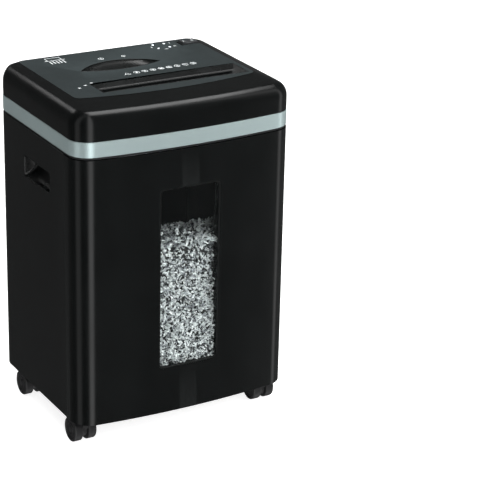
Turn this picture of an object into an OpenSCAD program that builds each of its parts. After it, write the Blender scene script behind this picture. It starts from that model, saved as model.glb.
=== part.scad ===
// Floor-standing paper shredder on casters, with a pull-out bin.
// Millimetres. +Z is up, the front faces -Y, and the origin is on the floor
// under the middle of the body.

/* [Body] */
// Overall width
body_w = 366; // [330:1:440]
// Overall depth over the bowed front
body_d = 296; // [280:1:356]
// How far the front bows out at its middle
front_bow = 13; // [8:1:18]
// Radius of the front corners
front_r = 34; // [30:1:40]
// Radius of the rear corners
rear_r = 28; // [26:1:34]
// Height of the cabinet from its underside to the head
cabinet_h = 429; // [360:1:515]
// Wall of the moulded panels
wall = 3; // [2.4:0.1:3.6]
// Distance from the rear face to the seam between cabinet and bin front
seam_from_rear = 241.5; // [225:0.5:250]

/* [Head] */
// Thickness of the head chassis plate
chassis_t = 3; // [2.4:0.1:4]
// Height of the silver band
band_h = 24; // [18:1:30]
// Height of the top cover above the band
cover_h = 47; // [45:1:56]
// Radius of the roll round the top cover
roll_r = 22; // [16:1:24]
// How far the shoulder falls from the crease to the roll
shoulder_drop = 3; // [2:0.5:5]

/* [Paper entry] */
// Clear width of the paper throat
throat_w = 224; // [220:1:240]
// Gap of the paper throat
throat_gap = 5.5; // [4.6:0.1:7]
// Middle of the throat, from the middle of the body
throat_x = 16; // [10:0.5:25]
// The throat's rear wall, from the front of the body at its middle
throat_from_front = 115; // [110:1:120]

/* [Disc entry] */
// Length of the leaf-shaped disc recess
disc_len = 132; // [126:1:136]
// Width of the slot for a disc
disc_slot_w = 124; // [121:0.5:125]
// Gap of the disc slot
disc_gap = 5; // [4.4:0.1:6]

/* [Cutters] */
// Outer radius of the cutting discs
disc_r = 20; // [19:0.25:21]
// Radius of the grooves between the discs
groove_r = 16; // [14.5:0.25:16.5]
// Pitch of the discs along each shaft
disc_pitch = 8; // [7:0.25:10]
// Radius of the shaft ends
journal_r = 5; // [4:0.25:6]

/* [Drive] */
// Radius of the motor can
motor_r = 24; // [20:0.5:24.5]
// Length of the motor can
motor_l = 80; // [70:1:90]

/* [Bin] */
// Half the outer width of the bin tub
tub_half_w = 140; // [125:1:142]
// Height of the bin tub
tub_h = 368; // [300:1:372]
// Wall of the bin tub
tub_t = 2.5; // [2:0.1:3]
// Level of the shreds above the tub's floor
heap_h = 292; // [120:1:330]

/* [Window] */
// Width of the window opening
window_w = 104; // [80:1:130]
// Height of the window opening
window_h = 295; // [200:1:300]
// Lower edge of the window above the underside
window_up = 74; // [60:1:100]

/* [Carry handles] */
// Length of the handle opening
handle_l = 94; // [80:1:100]
// Height of the handle opening
handle_h = 35; // [30:1:40]
// Depth of the handle pocket
handle_depth = 24; // [18:1:26]

/* [Casters] */
// Wheel diameter
wheel_d = 40; // [36:1:46]
// Width of each of the twin wheels
wheel_w = 14; // [10:1:16]
// Distance from the swivel axis back to the axle
caster_trail = 12; // [8:1:14]
// Space between the wheels' tops and the underside
caster_gap = 2.5; // [2.4:0.1:6]
// Radius of the swivel stem
stem_r = 4; // [3:0.25:5]

/* [Fits] */
// Radial clearance of a running shaft
run_gap = 0.06; // [0.04:0.01:0.09]
// Radial gap of a gear or socket that is fixed in place
tight_gap = 0.03; // [0.02:0.01:0.05]
// Clearance round a piece that drops into an opening
seat_gap = 0.25; // [0.15:0.05:0.4]
// Clearance beside a sliding piece
slide_gap = 0.6; // [0.4:0.1:1]

/* [Hidden] */
eps = 0.01;
through = 1;
fine = 64;

// Levels, from the floor up
under_z = wheel_d + caster_gap;
cabinet_top = under_z + cabinet_h;
band_z = cabinet_top + chassis_t;
cover_z = band_z + band_h;
top_z = cover_z + cover_h;

// Plan of the body: a bowed front, two front corners and two rear corners
bow_r = pow(body_w / 2, 2) / (2 * front_bow) + front_bow / 2;
bow_y = -body_d / 2 + bow_r;
corner_x = body_w / 2 - front_r;
corner_y = bow_y - sqrt(pow(bow_r - front_r, 2) - pow(corner_x, 2));
corner_a = atan2(corner_y - bow_y, corner_x);
rear_x = body_w / 2 - rear_r;
seam_y = body_d / 2 - seam_from_rear;
corner_steps = 8;
bow_steps = 14;

// Base and the things that stand on it
base_t = 6;
base_top = under_z + base_t;
boss_r = stem_r + 5;
boss_h = 20;
boss_wall = 2;
caster_x = body_w / 2 - 24;
caster_y = 92;
front_stem_y = -caster_y - caster_trail;
rear_stem_y = caster_y - caster_trail;
rear_split = rear_x - 5;
glide_h = 2;
glide_w = 12;
glide_x = 100;
runner_h = 14;
runner_w = 6;

// Plan of the flat top inside the crease
crease_x = body_w / 2 - 30;
crease_y = -body_d / 2 + 59;
crease_bow = 18;
crease_r = 12;
crease_bow_r = pow(crease_x, 2) / (2 * crease_bow) + crease_bow / 2;
crease_bow_y = crease_y + crease_bow_r;
crease_cx = crease_x - crease_r;
crease_cy = crease_bow_y - sqrt(pow(crease_bow_r - crease_r, 2) - pow(crease_cx, 2));
crease_a = atan2(crease_cy - crease_bow_y, crease_cx);
crease_rear = body_d / 2 - 8;

// Head
gap_line = 1.5;
throat_y = -body_d / 2 + throat_from_front;
throat_x0 = throat_x - throat_w / 2;
throat_x1 = throat_x + throat_w / 2;
hopper_rear = 17;
hopper_front = 29;
hopper_left = 6;
hopper_right = 15;
slope_drop = 5;
funnel_drop = 19;
guide_bottom = cover_z + 1;
guide_t = 3;
rim_w = 1.5;
rim_h = 4;

// The leaf-shaped recess behind the paper entry
disc_x = -19;
disc_y = throat_y + 81;
leaf_rear = 31;
leaf_front = 14;
dish_h = 12;
disc_drop = 9;
chute_a = 25;
chute_t = 2;

// Controls on the cover
rocker_l = 27;
rocker_w = 17;
rocker_h = 10;
rocker_proud = 3.5;
rocker_dip = 1.8;
rocker_gap = 0.9;
rocker_pivot_z = top_z - 5;
pivot_r = 1.5;
housing_t = 2;
housing_h = 20;
housing_drop = 0.6;
housing_l = rocker_l + 2 * (rocker_gap + housing_t);
housing_w = rocker_w + 2 * (rocker_gap + housing_t);
rocker_x = crease_x - housing_l / 2 - 1;
rocker_y = body_d / 2 - 31;
lens_x = rocker_x - 58;
lens_pitch = 20;
lens_r = 2;
lens_l = 9;

// Cutter block
nip_y = throat_y - throat_gap / 2;
shaft_gap = disc_r + groove_r + 1.5;
front_cut_y = nip_y - shaft_gap / 2;
rear_cut_y = nip_y + shaft_gap / 2;
cut_z = cover_z - 30;
plate_t = 4;
cut_x0 = throat_x0 - 3.5;
cut_x1 = throat_x1 + 3.5;
plate_left_x = cut_x0 - plate_t;
disc_w = disc_pitch / 2 - 0.3;
disc_count = floor((cut_x1 - cut_x0 - disc_pitch) / disc_pitch);
disc_x0 = (cut_x0 + cut_x1) / 2 - disc_count * disc_pitch / 2;
core_r = 7;
bushing_r = journal_r + 3;
plate_top = cut_z + 28;
plate_low = cut_z - 28;
plate_y0 = front_cut_y - 24;
plate_y1 = rear_cut_y + 30;
opening_y0 = plate_y0 - 2;
opening_y1 = plate_y1 + 2;
foot = 20;
rod_r = 4;
rod_z = plate_low + rod_r + 2;
cut_shoulder = 0.5;
shaft_end = 2;

// Gear train: pinion to idler, idler to drive gear, and the pair that ties the two shafts
fine_m = 1.5;
coarse_m = 2;
pinion_t = 8;
idler_big_t = 36;
idler_small_t = 8;
drive_t = 31;
sync_m = shaft_gap / 19;
sync_t = 19;
idler_a = 30;
motor_a = 22;
idler_d = coarse_m * (idler_small_t + drive_t) / 2;
motor_d = fine_m * (pinion_t + idler_big_t) / 2;
idler_y = rear_cut_y + idler_d * cos(idler_a);
idler_z = cut_z + idler_d * sin(idler_a);
motor_y = idler_y + motor_d * cos(motor_a);
motor_z = idler_z + motor_d * sin(motor_a);
gear_w = 8;
gear_x = plate_left_x - 4 - gear_w;
drive_x = gear_x - gear_w - 2;
idler_r = 4;
motor_shaft_r = 3.5;
cover_t = 2;
cover_x = drive_x - 5;
sync_room = gear_w + 8;
case_room = 4;
case_reach = fine_m * idler_big_t / 2 + case_room + 3;

// Bin
tub_z = base_top + glide_h + 0.2;
tub_rear = body_d / 2 - 30;
pane_t = 2;
pane_lap = 6;
window_z = under_z + window_up;
bezel_w = 3;
window_r = 9;
heap_gap = 0.5;
heap_crown = 12;
front_gap = 0.8;
bezel_gap = 0.1;
bezel_in = 0.5;

// Carry handles
handle_y = 4;
handle_z = cabinet_top - 63;
handle_r = 5;
cup_t = 2;

// Points of an arc, from angle a0 to a1
function arc(x, y, r, a0, a1, n) = [
    for (k = [0:n]) let (a = a0 + (a1 - a0) * k / n) [x + r * cos(a), y + r * sin(a)]
];

// The body's plan moved in by i, with the rear face moved in by ir
function outline(i, ir) = let (ry = body_d / 2 - ir - (rear_r - i)) concat(
    arc(corner_x, corner_y, front_r - i, corner_a, 0, corner_steps),
    arc(rear_x, ry, rear_r - i, 0, 90, corner_steps),
    arc(-rear_x, ry, rear_r - i, 90, 180, corner_steps),
    arc(-corner_x, corner_y, front_r - i, 180, 180 - corner_a, corner_steps),
    arc(0, bow_y, bow_r - i, 180 - corner_a + 0.4, 360 + corner_a - 0.4, bow_steps)
);

// The plan of the flat top inside the crease, moved in by i
function crease(i) = concat(
    arc(crease_cx, crease_cy, crease_r - i, crease_a, 0, corner_steps),
    arc(crease_cx, crease_rear - crease_r, crease_r - i, 0, 90, corner_steps),
    arc(-crease_cx, crease_rear - crease_r, crease_r - i, 90, 180, corner_steps),
    arc(-crease_cx, crease_cy, crease_r - i, 180, 180 - crease_a, corner_steps),
    arc(0, crease_bow_y, crease_bow_r - i, 180 - crease_a + 0.4, 360 + crease_a - 0.4, bow_steps)
);

// Corner points of a rounded rectangle centred on the origin
function round_rect(w, h, r) = concat(
    arc(w / 2 - r, h / 2 - r, r, 0, 90, 6),
    arc(r - w / 2, h / 2 - r, r, 90, 180, 6),
    arc(r - w / 2, r - h / 2, r, 180, 270, 6),
    arc(w / 2 - r, r - h / 2, r, 270, 360, 6)
);

// The handle opening, smaller by i all round
function handle_plan(i) = round_rect(handle_l - 2 * i, handle_h - 2 * i, handle_r - i);

// A box given by its lowest and highest corners
module block(lo, hi) {
    translate(lo) cube(hi - lo);
}

// The body's plan between two insets, from z0 to z1
module ring(outer, inner, z0, z1) {
    translate([0, 0, z0]) linear_extrude(z1 - z0) difference() {
        polygon(outline(outer, outer));
        polygon(outline(inner, inner));
    }
}

// A rod along X
module rod_x(x0, x1, y, z, r) {
    translate([x0, y, z]) rotate([0, 90, 0]) cylinder(h = x1 - x0, r = r, $fn = fine);
}

// A profile in Y and Z, drawn out along X
module slab_x(x0, x1, points) {
    translate([x0, 0, 0]) rotate([90, 0, 90]) linear_extrude(x1 - x0) polygon(points);
}

// A profile in X and Z, drawn out along Y
module slab_y(y0, y1, points) {
    translate([0, y1, 0]) rotate([90, 0, 0]) linear_extrude(y1 - y0) polygon(points);
}

// A screw with a cross recess, its head facing along +Z from the origin
module screw() {
    difference() {
        union() {
            translate([0, 0, -head_h]) cylinder(h = head_h, r = head_r, $fn = fine);
            translate([0, 0, -head_h - shank_l])
                cylinder(h = shank_l + eps, r = shank_r, $fn = fine);
        }
        for (a = [0, 90])
            rotate(a) translate([-cross_l / 2, -cross_w / 2, -head_h / 2]) cube([cross_l, cross_w, head_h]);
    }
}

// ---- Cabinet ----

module side_panel(s) {
    color([0.06, 0.07, 0.07]) difference() {
        intersection() {
            ring(0, wall, under_z, cabinet_top);
            if (s < 0)
                block([-body_w, seam_y, under_z], [-rear_split, body_d, cabinet_top]);
            else
                block([rear_split, seam_y, under_z], [body_w, body_d, cabinet_top]);
        }
        translate([s * body_w / 2, handle_y, handle_z]) rotate([90, 0, 90])
            translate([0, 0, -wall * 2]) linear_extrude(wall * 4)
                polygon(handle_plan(0));
    }
}

vent_n = 8;
vent_l = 90;
vent_x = 54;
vent_h = 4;
vent_pitch = 10;
vent_z = cabinet_top - 100;
gland_x = -rear_split + 45;
gland_z = under_z + 40;
gland_r = 9;
gland_l = wall + 10;
gland_flange_r = gland_r + 4;
gland_flange_t = 3;
gland_bore = 4;
gland_mouth = 6.5;
screw_x = rear_split - 12;
screw_zs = [under_z + 20, (under_z + cabinet_top) / 2, cabinet_top - 20];
head_r = 3.6;
head_h = 1.6;
shank_r = 1.6;
shank_l = 9;
cross_l = 4.4;
cross_w = 1;

module rear_panel() {
    color([0.06, 0.07, 0.07]) difference() {
        block([-rear_split, body_d / 2 - wall, under_z], [rear_split, body_d / 2, cabinet_top]);
        for (k = [0:vent_n - 1])
            for (s = [-1, 1])
                translate([s * vent_x - vent_l / 2, body_d / 2 - wall - through, vent_z + k * vent_pitch])
                    cube([vent_l, wall + 2 * through, vent_h]);
        translate([gland_x, body_d / 2 + through, gland_z]) rotate([90, 0, 0])
            cylinder(h = wall + 2 * through, r = gland_r + seat_gap, $fn = fine);
        for (x = [-screw_x, screw_x])
            for (z = screw_zs)
                translate([x, body_d / 2, z]) rotate([-90, 0, 0]) screw_hole();
    }
}

// Counterbore and through hole for a panel screw, from the origin along -Z
module screw_hole() {
    translate([0, 0, -head_h]) cylinder(h = head_h + through, r = head_r + seat_gap, $fn = fine);
    translate([0, 0, -wall - through]) cylinder(h = wall + through, r = shank_r + seat_gap, $fn = fine);
}

module panel_screws() {
    color([0.55, 0.56, 0.58])
        for (x = [-screw_x, screw_x])
            for (z = screw_zs)
                translate([x, body_d / 2, z]) rotate([-90, 0, 0]) screw();
}

module caster_spots() {
    for (x = [-caster_x, caster_x])
        for (y = [front_stem_y, rear_stem_y])
            translate([x, y, 0]) children();
}

base_front = corner_y + 4;
tongue_gap = 1.5;

module base_plate() {
    color([0.07, 0.07, 0.08]) difference() {
        union() {
            translate([0, 0, under_z]) linear_extrude(base_t) {
                intersection() {
                    polygon(outline(wall, wall));
                    translate([-body_w, seam_y]) square([2 * body_w, body_d]);
                }
                intersection() {
                    polygon(outline(wall + tongue_gap, wall));
                    translate([-body_w, base_front]) square([2 * body_w, body_d / 2]);
                }
            }
            caster_spots()
                translate([0, 0, base_top - eps])
                    cylinder(h = boss_h + eps, r = boss_r + boss_wall, $fn = fine);
        }
        caster_spots()
            translate([0, 0, under_z - through])
                cylinder(h = base_t + boss_h + 2 * through, r = boss_r, $fn = fine);
    }
}

module caster_sockets() {
    color([0.3, 0.31, 0.33]) caster_spots() difference() {
        translate([0, 0, under_z]) cylinder(h = base_t + boss_h, r = boss_r - tight_gap, $fn = fine);
        translate([0, 0, under_z - through])
            cylinder(h = base_t + boss_h + 2 * through, r = stem_r + run_gap, $fn = fine);
    }
}

module bin_runners() {
    color([0.12, 0.12, 0.13])
        for (s = [-1, 1]) {
            x = tub_half_w + slide_gap;
            block([min(s * x, s * (x + runner_w)), seam_y, base_top],
                  [max(s * x, s * (x + runner_w)), tub_rear, base_top + runner_h]);
        }
}

module bin_glides() {
    color([0.75, 0.75, 0.72])
        for (s = [-1, 1])
            block([s * glide_x - glide_w / 2, seam_y, base_top],
                  [s * glide_x + glide_w / 2, tub_rear, base_top + glide_h]);
}

module carry_handle(s) {
    color([0.08, 0.09, 0.09])
        translate([s * body_w / 2, handle_y, handle_z]) rotate([90, 0, 90])
            mirror([0, 0, s > 0 ? 1 : 0]) difference() {
                linear_extrude(handle_depth) polygon(handle_plan(seat_gap));
                translate([0, 0, -eps]) linear_extrude(handle_depth - cup_t) polygon(handle_plan(cup_t));
            }
}

module cord_gland() {
    color([0.1, 0.1, 0.11])
        translate([gland_x, body_d / 2, gland_z]) rotate([90, 0, 0]) difference() {
            union() {
                cylinder(h = gland_l, r = gland_r, $fn = fine);
                translate([0, 0, wall]) cylinder(h = gland_flange_t, r = gland_flange_r, $fn = fine);
            }
            translate([0, 0, -through]) cylinder(h = gland_l + 2 * through, r = gland_bore, $fn = fine);
            cylinder(h = gland_bore, r1 = gland_mouth, r2 = gland_bore, $fn = fine);
        }
}

sensor_gap = 10;
sensor_w = 16;
sensor_l = 24;
sensor_h = 16;
sensor_y = seam_y + 34;

module bin_sensor() {
    color([0.15, 0.15, 0.16])
        block([-tub_half_w - sensor_gap - sensor_w, sensor_y, cabinet_top - sensor_h],
              [-tub_half_w - sensor_gap, sensor_y + sensor_l, cabinet_top]);
}

// ---- Head ----

module head_chassis() {
    color([0.1, 0.1, 0.11]) difference() {
        ring_plate(gap_line, cabinet_top, band_z);
        block([cover_x - 2, opening_y0, cabinet_top - through],
              [cut_x1 + plate_t + sync_room, opening_y1, band_z + through]);
        block([cover_x - 2, opening_y0, cabinet_top - through],
              [plate_left_x, idler_y + case_reach, band_z + through]);
    }
}

module ring_plate(i, z0, z1) {
    translate([0, 0, z0]) linear_extrude(z1 - z0) polygon(outline(i, i));
}

module trim_band() {
    color([0.62, 0.64, 0.65]) ring(0, wall, band_z, cover_z);
}

// The top cover's outer form moved in by i, standing on z0
roll_steps = 7;
cover_inset = 0.4;
rear_roll = 6;

// One level of the cover's roll, k steps down from the shoulder
module roll_slice(i, k) {
    a = 90 - 90 * k / roll_steps;
    inset = i + roll_r * (1 - cos(a));
    rear_inset = i + rear_roll * (1 - cos(a));
    translate([0, 0, top_z - shoulder_drop - i - roll_r * (1 - sin(a)) - eps])
        linear_extrude(eps) polygon(outline(inset, rear_inset));
}

module cover_form(i, z0) {
    hull() {
        translate([0, 0, top_z - i - eps]) linear_extrude(eps) polygon(crease(i));
        roll_slice(i, 0);
    }
    for (k = [0:roll_steps - 1])
        hull() {
            roll_slice(i, k);
            roll_slice(i, k + 1);
        }
    hull() {
        roll_slice(i, roll_steps);
        translate([0, 0, z0]) linear_extrude(eps) polygon(outline(i, i));
    }
}

module top_cover() {
    color([0.06, 0.07, 0.07]) difference() {
        cover_form(cover_inset, cover_z);
        cover_form(cover_inset + wall, cover_z - 2 * through);
        guide_block(seat_gap, guide_bottom - through, top_z + through);
        translate([0, 0, top_z - 2 * dish_h]) linear_extrude(3 * dish_h) leaf(rim_w + seat_gap);
        translate([rocker_x, rocker_y, top_z - housing_h]) linear_extrude(2 * housing_h)
            square([housing_l + 2 * seat_gap, housing_w + 2 * seat_gap], center = true);
        lens_spots() cylinder(h = 4 * lens_l, r = lens_r + seat_gap, center = true, $fn = fine);
    }
}

// The rectangle of the paper entry, larger by i all round
module guide_block(i, z0, z1) {
    block([throat_x0 - hopper_left - rim_w - i, throat_y - hopper_front - rim_w - i, z0],
          [throat_x1 + hopper_right + rim_w + i, throat_y + hopper_rear + rim_w + i, z1]);
}

module paper_guide() {
    y0 = throat_y - hopper_front;
    y1 = throat_y + hopper_rear;
    front_y = throat_y - throat_gap;
    flange_z = top_z - rim_h;
    color([0.05, 0.06, 0.06]) difference() {
        slab_x(throat_x0 - hopper_left - rim_w, throat_x1 + hopper_right + rim_w, [
            [y0 - rim_w, top_z], [y0 - rim_w, flange_z],
            [front_y - guide_t, top_z - funnel_drop - rim_h], [front_y - guide_t, guide_bottom],
            [throat_y + guide_t, guide_bottom], [throat_y + guide_t, flange_z - slope_drop],
            [y1 + rim_w, flange_z], [y1 + rim_w, top_z]
        ]);
        intersection() {
            slab_x(throat_x0 - hopper_left, throat_x1 + hopper_right, [
                [y0, top_z + through], [y0, top_z], [front_y, top_z - funnel_drop],
                [front_y, guide_bottom - through], [throat_y, guide_bottom - through],
                [throat_y, top_z - slope_drop], [y1, top_z], [y1, top_z + through]
            ]);
            slab_y(y0 - through, y1 + through, [
                [throat_x0 - hopper_left, top_z + through], [throat_x0 - hopper_left, top_z],
                [throat_x0, top_z - 2 * slope_drop], [throat_x0, guide_bottom - through],
                [throat_x1, guide_bottom - through], [throat_x1, top_z - 2 * slope_drop],
                [throat_x1 + hopper_right, top_z], [throat_x1 + hopper_right, top_z + through]
            ]);
        }
    }
}

// The leaf outline of the disc entry, larger by g
leaf_rear_r = (pow(disc_len / 2, 2) + pow(leaf_rear, 2)) / (2 * leaf_rear);
leaf_front_r = (pow(disc_len / 2, 2) + pow(leaf_front, 2)) / (2 * leaf_front);

module leaf(g) {
    translate([disc_x, disc_y]) intersection() {
        translate([0, leaf_rear - leaf_rear_r]) circle(r = leaf_rear_r + g, $fn = 96);
        translate([0, leaf_front_r - leaf_front]) circle(r = leaf_front_r + g, $fn = 96);
        square([disc_len + 2 * g, 4 * leaf_rear], center = true);
    }
}

slot_y = disc_y - 4;

module disc_guide() {
    color([0.05, 0.06, 0.06]) difference() {
        translate([0, 0, top_z - dish_h]) linear_extrude(dish_h) leaf(rim_w);
        hull() {
            translate([0, 0, top_z]) linear_extrude(through) leaf(0);
            translate([disc_x - disc_slot_w / 2, slot_y, top_z - disc_drop])
                cube([disc_slot_w, 2, eps]);
        }
        chute_place() block([-disc_slot_w / 2, -2 * disc_drop, -disc_gap / 2],
                            [disc_slot_w / 2, 3, disc_gap / 2]);
    }
}

// Places children in the frame of the sloping disc path, with Y up the slope
module chute_place() {
    translate([disc_x, slot_y, top_z - disc_drop + disc_gap / 2]) rotate([chute_a, 0, 0]) children();
}

chute_top = -12;
chute_end = (throat_y + guide_t - slot_y) / cos(chute_a) + 4;

module disc_chute() {
    w = disc_slot_w / 2 + chute_t;
    color([0.12, 0.12, 0.13]) difference() {
        chute_place() difference() {
            block([-w, chute_end, -disc_gap / 2 - chute_t], [w, chute_top, disc_gap / 2 + chute_t]);
            block([-disc_slot_w / 2, chute_end - through, -disc_gap / 2],
                  [disc_slot_w / 2, chute_top + through, disc_gap / 2]);
        }
        block([-body_w, -body_d, under_z], [body_w, throat_y + guide_t + 0.5, top_z]);
        block([-body_w, -body_d, top_z - dish_h], [body_w, body_d, top_z]);
    }
}

// A rod along Y through the rocker
module pivot_rod(y0, y1, r) {
    translate([rocker_x, y1, rocker_pivot_z]) rotate([90, 0, 0]) cylinder(h = y1 - y0, r = r, $fn = fine);
}

// An open box with a pivot pin from wall to wall
module rocker_housing() {
    x = rocker_x - housing_l / 2;
    y = rocker_y - housing_w / 2;
    z = top_z - housing_h;
    color([0.03, 0.03, 0.035]) {
        difference() {
            translate([x, y, z]) cube([housing_l, housing_w, housing_h - housing_drop]);
            translate([x + housing_t, y + housing_t, z + housing_t])
                cube([housing_l - 2 * housing_t, housing_w - 2 * housing_t, housing_h]);
        }
        pivot_rod(y + housing_t - eps, y + housing_w - housing_t + eps, pivot_r);
    }
}

// A rocker with two sloping faces, turning about its pivot along Y
module power_rocker() {
    l = rocker_l / 2;
    low = rocker_pivot_z - rocker_h / 2;
    high = top_z + rocker_proud;
    tip = 3;
    color([0.12, 0.13, 0.14]) difference() {
        slab_y(rocker_y - rocker_w / 2, rocker_y + rocker_w / 2, [
            [rocker_x - l, low], [rocker_x + l, low], [rocker_x + l, high], [rocker_x + l - tip, high],
            [rocker_x, high - rocker_dip], [rocker_x - l + tip, high], [rocker_x - l, high]
        ]);
        pivot_rod(rocker_y - rocker_w, rocker_y + rocker_w, pivot_r + run_gap);
    }
}

module lens_spots() {
    for (kx = [0, 1])
        for (ky = [0, 1])
            translate([lens_x + kx * lens_pitch, rocker_y + (ky - 0.5) * lens_pitch, top_z]) children();
}

module indicator_lenses() {
    color([0.9, 0.92, 0.95])
        lens_spots() translate([0, 0, -lens_l]) cylinder(h = lens_l, r = lens_r, $fn = fine);
}

// ---- Cutter block ----

// Side plates stand on the chassis with their middle hanging through its opening
module cutter_plate(x0, rear_y, rear_top) {
    difference() {
        slab_x(x0, x0 + plate_t, [
            [plate_y0, plate_low], [plate_y1, plate_low], [plate_y1, band_z], [rear_y, band_z],
            [rear_y, rear_top], [plate_y1 - 12, rear_top], [plate_y1 - 12, plate_top],
            [plate_y0 - foot, plate_top], [plate_y0 - foot, band_z], [plate_y0, band_z]
        ]);
        for (y = [front_cut_y, rear_cut_y])
            rod_x(x0 - through, x0 + plate_t + through, y, cut_z, bushing_r);
    }
}

module side_plate_left() {
    color([0.6, 0.61, 0.63]) difference() {
        cutter_plate(plate_left_x, motor_y + motor_r + 2, motor_z + motor_r);
        rod_x(plate_left_x - through, cut_x0 + through, motor_y, motor_z, motor_shaft_r + 1.5);
        rod_x(plate_left_x - through, cut_x0 + through, idler_y, idler_z, idler_r);
    }
}

module side_plate_right() {
    color([0.6, 0.61, 0.63]) cutter_plate(cut_x1, plate_y1 + foot, plate_top);
}

module tie_rods() {
    color([0.7, 0.71, 0.73])
        for (y = [plate_y0 + rod_r + 1, plate_y1 - rod_r - 1])
            rod_x(cut_x0, cut_x1, y, rod_z, rod_r);
}

module shaft_bushings() {
    color([0.7, 0.5, 0.25])
        for (x = [plate_left_x, cut_x1])
            for (y = [front_cut_y, rear_cut_y])
                difference() {
                    rod_x(x, x + plate_t, y, cut_z, bushing_r);
                    rod_x(x - through, x + plate_t + through, y, cut_z, journal_r + run_gap);
                }
}

// A stack of cutting discs and grooves, shifted along X by half a pitch on the front shaft
module cutter_stack(y, shift) {
    n = disc_count;
    h = disc_pitch / 2;
    profile = concat(
        [[core_r, 0]],
        [for (k = [0:n - 1]) each [
            [groove_r, k * disc_pitch], [groove_r, k * disc_pitch + (h - disc_w) / 2 + h * shift],
            [disc_r, k * disc_pitch + (h - disc_w) / 2 + h * shift],
            [disc_r, k * disc_pitch + (h + disc_w) / 2 + h * shift],
            [groove_r, k * disc_pitch + (h + disc_w) / 2 + h * shift]
        ]],
        [[groove_r, n * disc_pitch], [core_r, n * disc_pitch]]
    );
    color([0.45, 0.46, 0.48])
        translate([disc_x0, y, cut_z]) rotate([0, 90, 0]) rotate_extrude($fn = fine) polygon(profile);
}

// A shaft with a thick middle and two journals
module cutter_shaft(y, x0, x1) {
    color([0.5, 0.51, 0.53]) {
        rod_x(x0, x1, y, cut_z, journal_r);
        rod_x(disc_x0 - cut_shoulder, disc_x0 + disc_count * disc_pitch + cut_shoulder, y, cut_z,
              core_r - run_gap);
    }
}

sync_x = cut_x1 + plate_t + 2;

module front_shaft() { cutter_shaft(front_cut_y, plate_left_x, sync_x + gear_w + shaft_end); }
module rear_shaft() { cutter_shaft(rear_cut_y, drive_x - shaft_end, sync_x + gear_w + shaft_end); }
module front_cutters() { cutter_stack(front_cut_y, 0); }
module rear_cutters() { cutter_stack(rear_cut_y, 1); }

// Comb of stripper fingers that reach into the grooves of one shaft
finger_t = disc_pitch - disc_w - 1.4;
comb_gap = 1.2;
comb_t = 3;
comb_h = 18;
finger_h = 12;

module stripper_comb(y, s, shift) {
    h = disc_pitch / 2;
    tip = y + s * (groove_r + comb_gap);
    root = y + s * (disc_r + comb_gap);
    back = root + s * comb_t;
    color([0.2, 0.2, 0.22]) {
        block([cut_x0, min(root, back), cut_z - comb_h / 2], [cut_x1, max(root, back), cut_z + comb_h / 2]);
        for (k = [0:disc_count - 2])
            translate([disc_x0 + k * disc_pitch + 1.5 * h + h * shift, 0, cut_z])
                block([-finger_t / 2, min(tip, root), -finger_h / 2],
                      [finger_t / 2, max(tip, root), finger_h / 2]);
    }
}

module comb_front() { stripper_comb(front_cut_y, -1, 0); }
module comb_rear() { stripper_comb(rear_cut_y, 1, 1); }

// ---- Drive ----

// A spur gear from x0 to x1 with a tooth on angle a0, and a bore
module gear(x0, x1, y, z, m, t, a0, bore) {
    r = m * t / 2;
    tip = r + 0.75 * m;
    root = r - 1.0 * m;
    p = 360 / t;
    teeth = [for (k = [0:t - 1]) each [
        [root * cos(a0 + (k - 0.3) * p), root * sin(a0 + (k - 0.3) * p)],
        [tip * cos(a0 + (k - 0.11) * p), tip * sin(a0 + (k - 0.11) * p)],
        [tip * cos(a0 + (k + 0.11) * p), tip * sin(a0 + (k + 0.11) * p)],
        [root * cos(a0 + (k + 0.3) * p), root * sin(a0 + (k + 0.3) * p)]
    ]];
    translate([x0, y, z]) rotate([90, 0, 90]) difference() {
        linear_extrude(x1 - x0) polygon(teeth);
        translate([0, 0, -through]) cylinder(h = x1 - x0 + 2 * through, r = bore, $fn = fine);
    }
}

module front_sync_gear() {
    color([0.66, 0.66, 0.64])
        gear(sync_x, sync_x + gear_w, front_cut_y, cut_z, sync_m, sync_t, 0, journal_r + tight_gap);
}

module rear_sync_gear() {
    color([0.66, 0.66, 0.64])
        gear(sync_x, sync_x + gear_w, rear_cut_y, cut_z, sync_m, sync_t,
             180 + 180 / sync_t, journal_r + tight_gap);
}

module drive_gear() {
    color([0.62, 0.63, 0.65])
        gear(drive_x, drive_x + gear_w, rear_cut_y, cut_z, coarse_m, drive_t, idler_a,
             journal_r + tight_gap);
}

module idler_gear() {
    color([0.68, 0.55, 0.3]) difference() {
        union() {
            gear(gear_x, gear_x + gear_w, idler_y, idler_z, fine_m, idler_big_t, motor_a, 1);
            gear(drive_x - 1, gear_x + eps, idler_y, idler_z, coarse_m, idler_small_t,
                 idler_a + 180 + 180 / idler_small_t, 1);
        }
        rod_x(drive_x - 2, gear_x + gear_w + through, idler_y, idler_z, idler_r + run_gap);
    }
}

module idler_pin() {
    color([0.7, 0.71, 0.73]) rod_x(cover_x + cover_t, cut_x0, idler_y, idler_z, idler_r);
}

module motor_pinion() {
    color([0.6, 0.6, 0.58])
        gear(gear_x - 0.5, gear_x + gear_w, motor_y, motor_z, fine_m, pinion_t,
             motor_a + 180 + 180 / pinion_t, motor_shaft_r + tight_gap);
}

endcap_t = 4;
can_t = 2;
can_end = 3;
armature_inset = 14;
armature_r = motor_r - 5;
fan_x = cut_x0 + motor_l + 3;
fan_w = 9;
fan_hub_r = 8;
fan_r = motor_r - 3;
fan_blades = 8;
blade_t = 1.6;
blade_w = 8;
blade_a = 35;

module motor_shaft() {
    color([0.7, 0.71, 0.73])
        rod_x(gear_x - 1, fan_x + fan_w, motor_y, motor_z, motor_shaft_r);
}

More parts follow.
